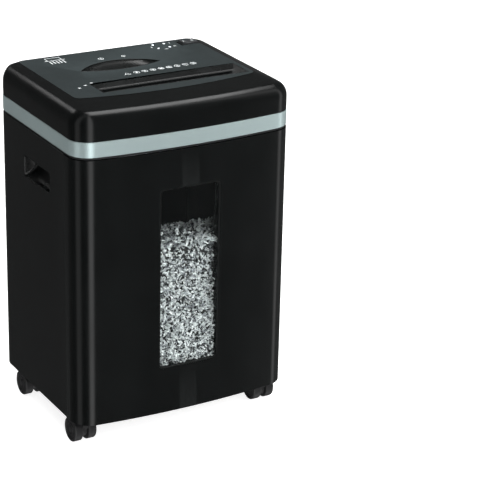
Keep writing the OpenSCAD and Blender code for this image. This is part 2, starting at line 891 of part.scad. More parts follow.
module motor_can() {
    color([0.3, 0.31, 0.33]) difference() {
        rod_x(cut_x0, cut_x0 + motor_l - endcap_t, motor_y, motor_z, motor_r);
        rod_x(cut_x0 + can_end, cut_x0 + motor_l, motor_y, motor_z, motor_r - can_t);
        rod_x(cut_x0 - through, cut_x0 + can_end + through, motor_y, motor_z, motor_shaft_r + run_gap);
    }
}

module motor_endcap() {
    x = cut_x0 + motor_l;
    color([0.12, 0.12, 0.13]) difference() {
        rod_x(x - endcap_t, x, motor_y, motor_z, motor_r);
        rod_x(x - endcap_t - through, x + through, motor_y, motor_z, motor_shaft_r + run_gap);
    }
}

module motor_armature() {
    x0 = cut_x0 + armature_inset;
    x1 = cut_x0 + motor_l - armature_inset;
    color([0.65, 0.38, 0.2]) difference() {
        rod_x(x0, x1, motor_y, motor_z, armature_r);
        rod_x(x0 - through, x1 + through, motor_y, motor_z, motor_shaft_r);
    }
}

module cooling_fan() {
    color([0.85, 0.85, 0.82]) difference() {
        union() {
            rod_x(fan_x, fan_x + fan_w, motor_y, motor_z, fan_hub_r);
            for (k = [0:fan_blades - 1])
                translate([fan_x + fan_w / 2, motor_y, motor_z]) rotate([k * 360 / fan_blades, 0, 0])
                    rotate([0, blade_a, 0]) translate([-blade_t / 2, fan_hub_r - 2, -blade_w / 2])
                        cube([blade_t, fan_r - fan_hub_r + 2, blade_w]);
        }
        rod_x(fan_x - through, fan_x + fan_w + through, motor_y, motor_z, motor_shaft_r);
    }
}

// Outline round the gear train, larger by g
module gear_case_plan(g) {
    hull() {
        translate([rear_cut_y, cut_z]) circle(r = coarse_m * drive_t / 2 + case_room + g, $fn = fine / 2);
        translate([idler_y, idler_z]) circle(r = fine_m * idler_big_t / 2 + case_room + g, $fn = fine / 2);
        translate([motor_y, motor_z]) circle(r = fine_m * pinion_t / 2 + case_room + 2 + g, $fn = fine / 2);
    }
}

module gearbox_cover() {
    color([0.2, 0.2, 0.22]) difference() {
        translate([cover_x, 0, 0]) rotate([90, 0, 90])
            linear_extrude(plate_left_x - cover_x) gear_case_plan(0);
        translate([cover_x + cover_t, 0, 0]) rotate([90, 0, 90])
            linear_extrude(plate_left_x - cover_x) gear_case_plan(-cover_t);
    }
}

// ---- Electronics ----

board_x = 62;
board_y = 38;
board_l = 84;
board_w = 66;
board_z = band_z + 14;
board_t = 1.6;
post_in = 5;
post_r = 2.5;

module circuit_board() {
    color([0.1, 0.35, 0.18]) {
        block([board_x, board_y, board_z], [board_x + board_l, board_y + board_w, board_z + board_t]);
        for (x = [board_x + post_in, board_x + board_l - post_in])
            for (y = [board_y + post_in, board_y + board_w - post_in])
                translate([x, y, band_z]) cylinder(h = board_z - band_z, r = post_r, $fn = fine);
    }
}

// A relay, a heat sink, a connector and a capacitor, each as its lowest corner and its size
board_parts = [[[8, 40, 0], [22, 16, 16]], [[40, 42, 0], [32, 4, 20]], [[10, 8, 0], [28, 10, 9]]];
capacitor = [60, 18, 0];
capacitor_r = 8;
capacitor_h = 22;

module board_components() {
    color([0.15, 0.2, 0.45]) translate([board_x, board_y, board_z + board_t]) {
        for (p = board_parts)
            translate(p[0]) cube(p[1]);
        translate(capacitor) cylinder(h = capacitor_h, r = capacitor_r, $fn = fine);
    }
}

// ---- Bin ----

module bin_tub() {
    color([0.09, 0.09, 0.1]) difference() {
        translate([0, 0, tub_z]) linear_extrude(tub_h) intersection() {
            polygon(outline(wall, wall));
            translate([-tub_half_w, -body_d]) square([2 * tub_half_w, body_d + tub_rear]);
        }
        translate([0, 0, tub_z + tub_t]) linear_extrude(tub_h)
            translate([tub_t - tub_half_w, -body_d])
                square([2 * (tub_half_w - tub_t), body_d + tub_rear - tub_t]);
    }
}

front_top = cabinet_top - 1;

// A prism through the front, for the window and what fits it
module window_prism(w, h, r) {
    translate([0, 0, window_z + window_h / 2]) rotate([90, 0, 0])
        linear_extrude(body_d) polygon(round_rect(w, h, r));
}

module bin_front() {
    color([0.06, 0.07, 0.07]) difference() {
        intersection() {
            ring(0, wall, under_z, front_top);
            block([-body_w, -body_d, under_z], [body_w, seam_y - front_gap, front_top]);
        }
        window_prism(window_w, window_h, window_r);
    }
}

module window_bezel() {
    color([0.04, 0.045, 0.05]) difference() {
        intersection() {
            ring(bezel_in, wall, under_z, front_top);
            window_prism(window_w - 2 * bezel_gap, window_h - 2 * bezel_gap, window_r);
        }
        window_prism(window_w - 2 * bezel_w, window_h - 2 * bezel_w, window_r - bezel_w);
    }
}

module window_pane() {
    color([0.75, 0.8, 0.82, 0.35]) intersection() {
        ring(wall, wall + pane_t, under_z, front_top);
        window_prism(window_w + 2 * pane_lap, window_h + 2 * pane_lap, window_r);
    }
}

module paper_shreds() {
    x = tub_half_w - tub_t - heap_gap;
    z0 = tub_z + tub_t;
    color([0.88, 0.88, 0.87]) hull() {
        translate([0, 0, z0 + heap_gap]) linear_extrude(heap_h) intersection() {
            polygon(outline(wall + pane_t + heap_gap, wall));
            translate([-x, -body_d]) square([2 * x, body_d + tub_rear - tub_t - heap_gap]);
        }
        translate([-x / 2, -body_d / 6, z0]) cube([x, body_d / 3, heap_h + heap_crown]);
    }
}

// ---- Casters ----

web_t = 8;
web_gap = 0.5;
hub_r = wheel_d / 2 - 5;
fender_gap = 0.6;
fender_t = 1.2;
fender_r = wheel_d / 2 + fender_gap;
fender_reach = 14;
axle_r = 2.5;
washer_r = 8;
neck = 8;
caster_wide = web_t / 2 + web_gap + wheel_w;
caster_top = wheel_d / 2 + fender_r;
stem_end = base_top + boss_h - 3;

module caster_yoke(x, y) {
    az = wheel_d / 2;
    ay = y + caster_trail;
    web_top = caster_top + fender_t / 2;
    color([0.08, 0.08, 0.09]) {
        difference() {
            union() {
                rod_x(x - web_t / 2, x + web_t / 2, ay, az, hub_r);
                block([x - web_t / 2, y - neck + 2, az + neck / 2], [x + web_t / 2, ay, web_top]);
                block([x - web_t / 2, ay - neck, az], [x + web_t / 2, ay + neck, web_top]);
                translate([x, y, caster_top]) cylinder(h = fender_t, r = washer_r, $fn = fine);
                intersection() {
                    difference() {
                        rod_x(x - caster_wide, x + caster_wide, ay, az, fender_r + fender_t);
                        rod_x(x - caster_wide - through, x + caster_wide + through, ay, az, fender_r);
                    }
                    block([x - caster_wide, ay - fender_reach, az],
                          [x + caster_wide, ay + fender_reach, under_z]);
                }
            }
            rod_x(x - web_t, x + web_t, ay, az, axle_r);
        }
        translate([x, y, caster_top]) cylinder(h = stem_end - caster_top, r = stem_r, $fn = fine);
        rod_x(x - caster_wide, x + caster_wide, ay, az, axle_r);
    }
}

// Half of a wheel's section, from its inner face out
tread_round = 1.5;
disc_sink = 2;
rim_r = wheel_d / 2 - 4;
cap_r = 6;

module caster_wheels(x, y) {
    bore = axle_r + run_gap;
    r = wheel_d / 2;
    color([0.1, 0.1, 0.11])
        for (s = [-1, 1])
            translate([x + s * (web_t / 2 + web_gap), y + caster_trail, r]) rotate([0, s * 90, 0])
                rotate_extrude($fn = fine) polygon([
                    [bore, 0], [r - tread_round, 0], [r, tread_round], [r, wheel_w - disc_sink],
                    [r - disc_sink, wheel_w], [rim_r, wheel_w], [rim_r - 1, wheel_w - disc_sink],
                    [cap_r, wheel_w - disc_sink], [cap_r - 1, wheel_w], [bore, wheel_w]
                ]);
}

side_panel(-1);  // side_panel_left
side_panel(1);  // side_panel_right
rear_panel();
base_plate();
panel_screws();
bin_runners();
bin_glides();
head_chassis();
trim_band();
top_cover();
paper_guide();
disc_guide();
disc_chute();
rocker_housing();
indicator_lenses();
carry_handle(-1);  // carry_handle_left
carry_handle(1);  // carry_handle_right
side_plate_left();
side_plate_right();
tie_rods();
shaft_bushings();
comb_front();
comb_rear();
gearbox_cover();
idler_pin();
motor_can();
motor_endcap();
circuit_board();
board_components();
bin_sensor();
cord_gland();
caster_sockets();
front_shaft();
front_cutters();
front_sync_gear();
rear_shaft();
rear_cutters();
rear_sync_gear();
drive_gear();
idler_gear();
motor_shaft();
motor_pinion();
motor_armature();
cooling_fan();
power_rocker();
bin_tub();
bin_front();
window_bezel();
window_pane();
paper_shreds();
caster_yoke(-caster_x, front_stem_y);  // caster_yoke_front_left
caster_wheels(-caster_x, front_stem_y);  // caster_wheels_front_left
caster_yoke(caster_x, front_stem_y);  // caster_yoke_front_right
caster_wheels(caster_x, front_stem_y);  // caster_wheels_front_right
caster_yoke(-caster_x, rear_stem_y);  // caster_yoke_rear_left
caster_wheels(-caster_x, rear_stem_y);  // caster_wheels_rear_left
caster_yoke(caster_x, rear_stem_y);  // caster_yoke_rear_right
caster_wheels(caster_x, rear_stem_y);  // caster_wheels_rear_right
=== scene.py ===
import bmesh
import bpy
import math
import random
from mathutils import Matrix, Vector, noise


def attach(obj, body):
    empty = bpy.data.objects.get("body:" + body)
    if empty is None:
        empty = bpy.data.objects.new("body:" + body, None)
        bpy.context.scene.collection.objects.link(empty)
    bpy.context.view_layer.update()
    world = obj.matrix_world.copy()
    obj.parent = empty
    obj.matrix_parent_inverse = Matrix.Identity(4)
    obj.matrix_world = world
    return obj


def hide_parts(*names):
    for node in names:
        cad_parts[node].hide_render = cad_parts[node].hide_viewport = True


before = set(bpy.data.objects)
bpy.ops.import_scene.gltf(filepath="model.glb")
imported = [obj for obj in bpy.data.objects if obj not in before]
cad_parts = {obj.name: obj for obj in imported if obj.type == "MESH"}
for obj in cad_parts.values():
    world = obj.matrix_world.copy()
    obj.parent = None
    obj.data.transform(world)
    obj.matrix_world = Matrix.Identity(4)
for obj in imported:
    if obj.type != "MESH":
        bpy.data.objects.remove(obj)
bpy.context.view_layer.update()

# ---- Sizes, in millimetres, as in the part ----
MM = 0.001
BODY_W, BODY_D, FRONT_BOW = 366.0, 296.0, 13.0
FRONT_R, REAR_R, WALL = 34.0, 28.0, 3.0
UNDER_Z = 42.5
CABINET_TOP = UNDER_Z + 429.0
BAND_Z = CABINET_TOP + 3.0
COVER_Z = BAND_Z + 24.0
TOP_Z = COVER_Z + 47.0
SEAM_Y = BODY_D / 2 - 241.5
REAR_SPLIT = 150.0
COVER_INSET = 0.4
ROLL_R, REAR_ROLL, SHOULDER_DROP = 22.0, 6.0, 3.0
THROAT_X0, THROAT_X1 = -96.0, 128.0
THROAT_Y, THROAT_GAP = -33.0, 5.5
DISC_X, DISC_Y, DISC_LEN, DISC_SLOT = -19.0, 48.0, 132.0, 124.0
LEAF_REAR, LEAF_FRONT = 31.0, 14.0
ROCKER_X, ROCKER_Y, ROCKER_L, ROCKER_W = 135.6, 117.0, 27.0, 17.0
PIVOT_Z = TOP_Z - 5.0
HANDLE_Y, HANDLE_Z, HANDLE_L, HANDLE_H, HANDLE_DEPTH = 4.0, 408.5, 94.0, 35.0, 24.0
WINDOW_W, WINDOW_H, WINDOW_Z, WINDOW_R = 104.0, 295.0, 116.5, 9.0
TUB_HALF_W, TUB_REAR, TUB_FLOOR = 140.0, 118.0, 53.2
PAPER_X, PAPER_REAR, PAPER_TOP = TUB_HALF_W - WALL, TUB_REAR - WALL, 357.0
WHEEL_R, WHEEL_W, CASTER_X, AXLE_Y = 20.0, 14.0, 159.0, 92.0
WHEEL_BORE, YOKE_HALF = 2.56, 4.5
# The paper entry's funnel reaches this far past the throat, and its flange further
FUNNEL_LEFT, FUNNEL_RIGHT, FUNNEL_FRONT, FUNNEL_REAR, FLANGE = 6.0, 15.0, 29.0, 17.0, 1.5
# The openings cut in the cover: their clearance, and how far a cut goes below and above the top
HOUSING_RIM, CUT_GAP, CUT_DEEP, CUT_OVER = 2.9, 0.25, 24.0, 5.0

BOW_R = (BODY_W / 2) ** 2 / (2 * FRONT_BOW) + FRONT_BOW / 2
BOW_Y = -BODY_D / 2 + BOW_R
CORNER_X = BODY_W / 2 - FRONT_R
CORNER_Y = BOW_Y - math.sqrt((BOW_R - FRONT_R) ** 2 - CORNER_X ** 2)
CORNER_A = math.degrees(math.atan2(CORNER_Y - BOW_Y, CORNER_X))
REAR_X = BODY_W / 2 - REAR_R

CREASE_X, CREASE_Y, CREASE_BOW, CREASE_R = 153.0, -89.0, 18.0, 12.0
CREASE_BOW_R = CREASE_X ** 2 / (2 * CREASE_BOW) + CREASE_BOW / 2
CREASE_BOW_Y = CREASE_Y + CREASE_BOW_R
CREASE_CX = CREASE_X - CREASE_R
CREASE_CY = CREASE_BOW_Y - math.sqrt((CREASE_BOW_R - CREASE_R) ** 2 - CREASE_CX ** 2)
CREASE_A = math.degrees(math.atan2(CREASE_CY - CREASE_BOW_Y, CREASE_CX))
CREASE_REAR = BODY_D / 2 - 8.0


# ---- Materials ----
def new_material(name):
    m = bpy.data.materials.new(name)
    m.use_nodes = True
    return m, m.node_tree, m.node_tree.nodes["Principled BSDF"]


def add(nt, kind, **values):
    """A new shader node with these settings."""
    node = nt.nodes.new(kind)
    for key, value in values.items():
        setattr(node, key, value)
    return node


def noise_of(nt, scale, detail=4.0, rough=0.55, stretch=(1, 1, 1)):
    """A noise value in the piece's own space, stretched along an axis."""
    coord = add(nt, "ShaderNodeTexCoord")
    mapping = add(nt, "ShaderNodeMapping")
    mapping.inputs["Scale"].default_value = stretch
    tex = add(nt, "ShaderNodeTexNoise")
    tex.inputs["Scale"].default_value = scale
    tex.inputs["Detail"].default_value = detail
    tex.inputs["Roughness"].default_value = rough
    nt.links.new(coord.outputs["Object"], mapping.inputs["Vector"])
    nt.links.new(mapping.outputs["Vector"], tex.inputs["Vector"])
    return tex.outputs["Fac"]


def cells_of(nt, scale):
    """The distance to the nearest cell centre, in the piece's own space."""
    coord = add(nt, "ShaderNodeTexCoord")
    tex = add(nt, "ShaderNodeTexVoronoi")
    tex.inputs["Scale"].default_value = scale
    nt.links.new(coord.outputs["Object"], tex.inputs["Vector"])
    return tex.outputs["Distance"]


def ramp_of(nt, value, stops):
    ramp = add(nt, "ShaderNodeValToRGB")
    e = ramp.color_ramp.elements
    while len(e) < len(stops):
        e.new(0.5)
    for k, (pos, colour) in enumerate(stops):
        e[k].position = pos
        e[k].color = (*colour, 1.0)
    nt.links.new(value, ramp.inputs["Fac"])
    return ramp.outputs["Color"]


def range_of(nt, value, lo, hi, from_lo=0.3, from_hi=0.7):
    node = add(nt, "ShaderNodeMapRange")
    node.inputs["From Min"].default_value = from_lo
    node.inputs["From Max"].default_value = from_hi
    node.inputs["To Min"].default_value = lo
    node.inputs["To Max"].default_value = hi
    nt.links.new(value, node.inputs["Value"])
    return node.outputs["Result"]


def bump_of(nt, bsdf, value, strength, distance, below=None):
    node = add(nt, "ShaderNodeBump")
    node.inputs["Strength"].default_value = strength
    node.inputs["Distance"].default_value = distance
    nt.links.new(value, node.inputs["Height"])
    if below is not None:
        nt.links.new(below, node.inputs["Normal"])
    nt.links.new(node.outputs["Normal"], bsdf.inputs["Normal"])
    return node.outputs["Normal"]


def moulded(name, dark, light, rough, grain, depth, specular=0.5, coat=0.0):
    """Moulded plastic: a fine spark-eroded grain, cloudiness, handling marks and paler edges."""
    m, nt, bsdf = new_material(name)
    cloud = noise_of(nt, 14.0, 5.0)
    fleck = noise_of(nt, grain * 0.6, 2.0)
    base = ramp_of(nt, cloud, [(0.3, dark), (0.7, light)])
    geometry = add(nt, "ShaderNodeNewGeometry")
    edge = range_of(nt, geometry.outputs["Pointiness"], 0.0, 0.35, 0.52, 0.62)
    wear = add(nt, "ShaderNodeMixRGB", blend_type="MIX")
    wear.inputs["Color2"].default_value = (*(part * 3 + 0.01 for part in light), 1)
    nt.links.new(edge, wear.inputs["Fac"])
    nt.links.new(base, wear.inputs["Color1"])
    nt.links.new(wear.outputs["Color"], bsdf.inputs["Base Color"])
    smear = noise_of(nt, 22.0, 6.0, 0.6, (1.0, 1.0, 0.35))
    nt.links.new(range_of(nt, smear, rough[0], rough[1]), bsdf.inputs["Roughness"])
    bsdf.inputs["Specular IOR Level"].default_value = specular
    bsdf.inputs["Coat Weight"].default_value = coat
    bsdf.inputs["Coat Roughness"].default_value = 0.25
    first = bump_of(nt, bsdf, cells_of(nt, grain), 0.35, depth)
    bump_of(nt, bsdf, fleck, 0.2, depth, first)
    return m


def metal(name, dark, light, rough, stretch, scale=260.0, metallic=1.0):
    """Rolled, ground or plated metal, with its grain drawn out along one way."""
    m, nt, bsdf = new_material(name)
    grain = noise_of(nt, scale, 6.0, 0.6, stretch)
    stain = noise_of(nt, 18.0, 4.0)
    mix = add(nt, "ShaderNodeMixRGB", blend_type="MULTIPLY")
    mix.inputs["Fac"].default_value = 0.5
    nt.links.new(ramp_of(nt, grain, [(0.3, dark), (0.7, light)]), mix.inputs["Color1"])
    dulling = ramp_of(nt, stain, [(0.3, (0.7, 0.7, 0.7)), (0.65, (1, 1, 1))])
    nt.links.new(dulling, mix.inputs["Color2"])
    nt.links.new(mix.outputs["Color"], bsdf.inputs["Base Color"])
    nt.links.new(range_of(nt, grain, rough[0], rough[1]), bsdf.inputs["Roughness"])
    bsdf.inputs["Metallic"].default_value = metallic
    bump_of(nt, bsdf, grain, 0.25, 0.00004)
    return m


def silver_paint(name):
    """Satin silver paint with fine flake over plastic."""
    m, nt, bsdf = new_material(name)
    flake = cells_of(nt, 2600.0)
    cloud = noise_of(nt, 9.0, 3.0)
    mix = add(nt, "ShaderNodeMixRGB", blend_type="MULTIPLY")
    mix.inputs["Fac"].default_value = 0.6
    flecks = ramp_of(nt, flake, [(0.1, (0.26, 0.32, 0.32)), (0.6, (0.37, 0.455, 0.455))])
    nt.links.new(flecks, mix.inputs["Color1"])
    dulling = ramp_of(nt, cloud, [(0.3, (0.86, 0.86, 0.87)), (0.7, (1, 1, 1))])
    nt.links.new(dulling, mix.inputs["Color2"])
    nt.links.new(mix.outputs["Color"], bsdf.inputs["Base Color"])
    nt.links.new(range_of(nt, flake, 0.28, 0.38, 0.1, 0.7), bsdf.inputs["Roughness"])
    bsdf.inputs["Metallic"].default_value = 0.6
    bump_of(nt, bsdf, flake, 0.12, 0.00003)
    return m


def clear_plastic(name):
    """Clear polycarbonate with faint smears and scratches."""
    m, nt, bsdf = new_material(name)
    smear = noise_of(nt, 26.0, 6.0, 0.6, (1, 1, 0.3))
    nt.links.new(range_of(nt, smear, 0.03, 0.12), bsdf.inputs["Roughness"])
    tint = ramp_of(nt, smear, [(0.3, (0.010, 0.012, 0.012)), (0.7, (0.018, 0.020, 0.020))])
    nt.links.new(tint, bsdf.inputs["Base Color"])
    bsdf.inputs["Alpha"].default_value = 0.09
    bsdf.inputs["IOR"].default_value = 1.58
    bump_of(nt, bsdf, noise_of(nt, 700.0, 3.0, 0.6, (1, 1, 0.02)), 0.05, 0.00002)
    m.blend_method = "BLEND"
    return m


def paper(name, painted_shade_dim=1.0):
    """Office paper: mostly white, some sheets tinted, with traces of grey print. The grey to
    near-black strips are partly tinted sheets and partly painted shade for the dark gaps between
    strips, and a last argument below 1 darkens all of it as painted shade.
    """
    m, nt, bsdf = new_material(name)
    geometry = add(nt, "ShaderNodeNewGeometry")
    # Tints per strip run from white to near black: the dark ones are partly tinted sheets, partly
    # painted shade for the gaps between strips
    tint = ramp_of(nt, geometry.outputs["Random Per Island"], [
        (0.0, (0.95, 0.95, 0.94)), (0.42, (0.90, 0.90, 0.90)), (0.5, (0.60, 0.61, 0.62)),
        (0.6, (0.90, 0.90, 0.88)), (0.7, (0.36, 0.37, 0.39)), (0.8, (0.16, 0.16, 0.17)),
        (0.9, (0.05, 0.05, 0.05)), (1.0, (0.02, 0.02, 0.02))])
    ink = ramp_of(nt, noise_of(nt, 420.0, 3.0, 0.7, (1, 1, 3)), [
        (0.40, (0.04, 0.04, 0.05)), (0.47, (1, 1, 1)), (1.0, (1, 1, 1))])
    mix = add(nt, "ShaderNodeMixRGB", blend_type="MULTIPLY")
    mix.inputs["Fac"].default_value = 0.85
    nt.links.new(tint, mix.inputs["Color1"])
    nt.links.new(ink, mix.inputs["Color2"])
    # A cool tint times the dim factor; a dim factor below 1 is painted shade, used for the heap's
    # core
    shade = add(nt, "ShaderNodeMixRGB", blend_type="MULTIPLY")
    shade.inputs["Fac"].default_value = 1.0
    shade.inputs["Color2"].default_value = (painted_shade_dim * 0.92, painted_shade_dim, painted_shade_dim, 1)
    nt.links.new(mix.outputs["Color"], shade.inputs["Color1"])
    nt.links.new(shade.outputs["Color"], bsdf.inputs["Base Color"])
    nt.links.new(range_of(nt, noise_of(nt, 300.0), 0.75, 0.95), bsdf.inputs["Roughness"])
    bsdf.inputs["Specular IOR Level"].default_value = 0.25
    bump_of(nt, bsdf, noise_of(nt, 1500.0, 3.0), 0.15, 0.00005)
    return m


def striped(name, first, second, scale, metallic, rough):
    """Windings or tracks: fine bands of two colours with uneven edges."""
    m, nt, bsdf = new_material(name)
    coord = add(nt, "ShaderNodeTexCoord")
    wave = add(nt, "ShaderNodeTexWave")
    wave.inputs["Scale"].default_value = scale
    wave.inputs["Distortion"].default_value = 3.0
    wave.inputs["Detail"].default_value = 3.0
    nt.links.new(coord.outputs["Object"], wave.inputs["Vector"])
    bands = ramp_of(nt, wave.outputs["Fac"], [(0.35, first), (0.65, second)])
    nt.links.new(bands, bsdf.inputs["Base Color"])
    nt.links.new(range_of(nt, noise_of(nt, 200.0), rough[0], rough[1]), bsdf.inputs["Roughness"])
    bsdf.inputs["Metallic"].default_value = metallic
    bump_of(nt, bsdf, wave.outputs["Fac"], 0.3, 0.0001)
    return m


SHELL = moulded("shell_black", (0.0008, 0.0011, 0.0011), (0.0015, 0.0020, 0.0020), (0.19, 0.27),
                1500.0, 0.00003, 0.20)
COVER = moulded("cover_black", (0.0125, 0.0170, 0.0175), (0.0165, 0.0220, 0.0230), (0.34, 0.44),
                1100.0, 0.00004, 0.30)
INSERT = moulded("insert_black", (0.0014, 0.0018, 0.0018), (0.0030, 0.0036, 0.0036), (0.22, 0.32),
                 1500.0, 0.00003, 0.25)
INNER = moulded("inner_black", (0.0030, 0.0031, 0.0033), (0.0060, 0.0062, 0.0066), (0.45, 0.62),
                900.0, 0.00006, 0.2)
WHEEL = moulded("wheel_black", (0.0045, 0.0045, 0.0050), (0.0100, 0.0100, 0.0105), (0.35, 0.5),
                800.0, 0.00006, 0.35)
ROCKER = moulded("rocker_black", (0.0160, 0.0175, 0.0185), (0.0240, 0.0255, 0.0270), (0.35, 0.48),
                 1200.0, 0.00006, 0.5)
NATURAL = moulded("gear_plastic", (0.58, 0.57, 0.52), (0.70, 0.69, 0.64), (0.35, 0.5),
                  700.0, 0.00006, 0.5)
INDICATOR = moulded("indicator", (0.55, 0.60, 0.64), (0.70, 0.75, 0.78), (0.10, 0.22),
                    600.0, 0.00002, 0.5, 0.5)
COMPONENT = moulded("component", (0.03, 0.04, 0.11), (0.06, 0.08, 0.20), (0.35, 0.55),
                    500.0, 0.00008, 0.5)
INK = moulded("print_grey", (0.30, 0.32, 0.32), (0.42, 0.44, 0.44), (0.5, 0.65),
              900.0, 0.00003, 0.3)
SILVER = silver_paint("silver_trim")
CLEAR = clear_plastic("window_clear")
PAPER = paper("paper")
# Paper darkened to near black: painted shade for the heap's core, seen through the gaps between
# strips
PAPER_PAINTED_SHADE = paper("paper_painted_shade", 0.05)
PLATE = metal("plate_steel", (0.42, 0.43, 0.45), (0.62, 0.63, 0.65), (0.28, 0.42), (1, 8, 8))
CUTTER = metal("cutter_steel", (0.22, 0.23, 0.25), (0.38, 0.39, 0.41), (0.22, 0.36), (14, 1, 1))
BRONZE = metal("bronze", (0.42, 0.26, 0.12), (0.60, 0.40, 0.20), (0.3, 0.45), (1, 1, 1), 400.0)
GEAR = metal("gear_steel", (0.30, 0.30, 0.31), (0.46, 0.46, 0.47), (0.34, 0.5), (1, 1, 1), 500.0)
MOTOR = metal("motor_can", (0.05, 0.05, 0.055), (0.09, 0.09, 0.095), (0.35, 0.5), (6, 1, 1),
              200.0, 0.6)
SCREW = metal("screw_zinc", (0.45, 0.45, 0.47), (0.66, 0.66, 0.68), (0.2, 0.34), (1, 1, 1), 900.0)
COPPER = striped("copper", (0.25, 0.09, 0.03), (0.55, 0.24, 0.09), 160.0, 0.9, (0.3, 0.45))
BOARD = striped("board_green", (0.008, 0.060, 0.022), (0.020, 0.110, 0.045), 60.0, 0.0, (0.25, 0.4))

SLOT_MATERIALS = {
    "shell_black": SHELL, "inner_black": INNER, "silver_trim": SILVER, "plate_steel": PLATE,
    "cutter_steel": CUTTER, "bronze": BRONZE, "gear_steel": GEAR, "gear_plastic": NATURAL,
    "motor_can": MOTOR, "copper": COPPER, "board_green": BOARD, "component": COMPONENT,
    "window_clear": CLEAR, "paper": PAPER, "wheel_black": WHEEL, "indicator": INDICATOR,
    "screw_zinc": SCREW, "rocker_black": ROCKER,
}


# ---- Shape helpers ----
def arc(x, y, r, a0, a1, n):
    return [(x + r * math.cos(math.radians(a0 + (a1 - a0) * k / n)),
             y + r * math.sin(math.radians(a0 + (a1 - a0) * k / n))) for k in range(n + 1)]


CORNER_STEPS, BOW_STEPS = 16, 56


def outline(i, ir):
    """The body's plan moved in by i, with the rear face moved in by ir."""
    ry = BODY_D / 2 - ir - (REAR_R - i)
    n = CORNER_STEPS
    return (arc(CORNER_X, CORNER_Y, FRONT_R - i, CORNER_A, 0, n)
            + arc(REAR_X, ry, REAR_R - i, 0, 90, n)
            + arc(-REAR_X, ry, REAR_R - i, 90, 180, n)
            + arc(-CORNER_X, CORNER_Y, FRONT_R - i, 180, 180 - CORNER_A, n)
            + arc(0, BOW_Y, BOW_R - i, 180 - CORNER_A + 0.2, 360 + CORNER_A - 0.2, BOW_STEPS))


def crease(i):
    """The plan of the flat top inside the crease, moved in by i."""
    n = CORNER_STEPS
    return (arc(CREASE_CX, CREASE_CY, CREASE_R - i, CREASE_A, 0, n)
            + arc(CREASE_CX, CREASE_REAR - CREASE_R, CREASE_R - i, 0, 90, n)
            + arc(-CREASE_CX, CREASE_REAR - CREASE_R, CREASE_R - i, 90, 180, n)
            + arc(-CREASE_CX, CREASE_CY, CREASE_R - i, 180, 180 - CREASE_A, n)
            + arc(0, CREASE_BOW_Y, CREASE_BOW_R - i, 180 - CREASE_A + 0.2, 360 + CREASE_A - 0.2,
                  BOW_STEPS))


def front_y(x, inset):
    """The bowed front's Y at X, that far in from the outside."""
    return BOW_Y - math.sqrt((BOW_R - inset) ** 2 - x * x)


def round_rect(w, h, r, n=8):
    return (arc(w / 2 - r, h / 2 - r, r, 0, 90, n) + arc(r - w / 2, h / 2 - r, r, 90, 180, n)
            + arc(r - w / 2, r - h / 2, r, 180, 270, n) + arc(w / 2 - r, r - h / 2, r, 270, 360, n))


def mesh_object(name, verts, faces):
    mesh = bpy.data.meshes.new(name)
    mesh.from_pydata([Vector(v) * MM for v in verts], [], faces)
    bm = bmesh.new()
    bm.from_mesh(mesh)
    bmesh.ops.recalc_face_normals(bm, faces=bm.faces)
    bm.to_mesh(mesh)
    bm.free()
    obj = bpy.data.objects.new(name, mesh)
    bpy.context.scene.collection.objects.link(obj)
    return obj


def loft(name, rings, capped=False):
    """Faces between rings of one count. An uncapped loft closes on its first ring, like a tube."""
    n = len(rings[0])
    verts = [v for ring in rings for v in ring]
    faces = []
    last = len(rings) if not capped else len(rings) - 1
    for a in range(last):
        faces += band_faces(a * n, (a + 1) % len(rings) * n, n)
    if capped:
        faces.append(tuple(range(n)))
        faces.append(tuple(range((len(rings) - 1) * n, len(rings) * n)))
    return mesh_object(name, verts, faces)


def rect(x0, y0, x1, y1):
    return [(x0, y0), (x1, y0), (x1, y1), (x0, y1)]


def band_faces(first, second, n):
    """Faces between two rings of n vertices that start at these indices."""
    return [(first + k, first + (k + 1) % n, second + (k + 1) % n, second + k) for k in range(n)]


def level(points, z):
    """A plan's points, all at one height."""
    return [(x, y, z) for x, y in points]


def prism_z(name, points, z0, z1):
    return loft(name, [level(points, z0), level(points, z1)], True)


def prism_x(name, points, x0, x1):
    return loft(name, [[(x0, y, z) for y, z in points], [(x1, y, z) for y, z in points]], True)


def prism_y(name, points, y0, y1):
    return loft(name, [[(x, y0, z) for x, z in points], [(x, y1, z) for x, z in points]], True)


def revolve_x(profile, x, y, z, side, n=72):
    """Vertices and faces of a closed (radius, distance out) profile turned about an X axis."""
    verts, faces, m = [], [], len(profile)
    for k in range(n):
        a = 2 * math.pi * k / n
        for r, d in profile:
            verts.append((x + side * d, y + r * math.cos(a), z + r * math.sin(a)))
    for k in range(n):
        for j in range(m):
            a, b = k * m + j, k * m + (j + 1) % m
            c, d = ((k + 1) % n) * m + (j + 1) % m, ((k + 1) % n) * m + j
            faces.append((a, b, c, d))
    return verts, faces


def joined(name, parts):
    verts, faces = [], []
    for v, f in parts:
        base = len(verts)
        verts += v
        faces += [tuple(i + base for i in face) for face in f]
    return mesh_object(name, verts, faces)


def settle(obj):
    """Replaces an object's mesh by the result of its modifiers."""
    dg = bpy.context.evaluated_depsgraph_get()
    dg.update()
    mesh = bpy.data.meshes.new_from_object(obj.evaluated_get(dg))
    old = obj.data
    obj.modifiers.clear()
    obj.data = mesh
    bpy.data.meshes.remove(old)


def drop(obj):
    bpy.data.objects.remove(obj)


def boolean(obj, other, operation="DIFFERENCE"):
    mod = obj.modifiers.new("cut", "BOOLEAN")
    mod.operation = operation
    mod.solver = "EXACT"
    mod.object = other
    settle(obj)
    drop(other)


def rounded(obj, width, angle=32.0, segments=3):
    """Rounds the edges sharper than angle, in millimetres and degrees."""
    mod = obj.modifiers.new("round", "BEVEL")
    mod.width = width * MM
    mod.segments = segments
    mod.limit_method = "ANGLE"
    mod.angle_limit = math.radians(angle)
    mod.harden_normals = False
    mod.use_clamp_overlap = True
    settle(obj)


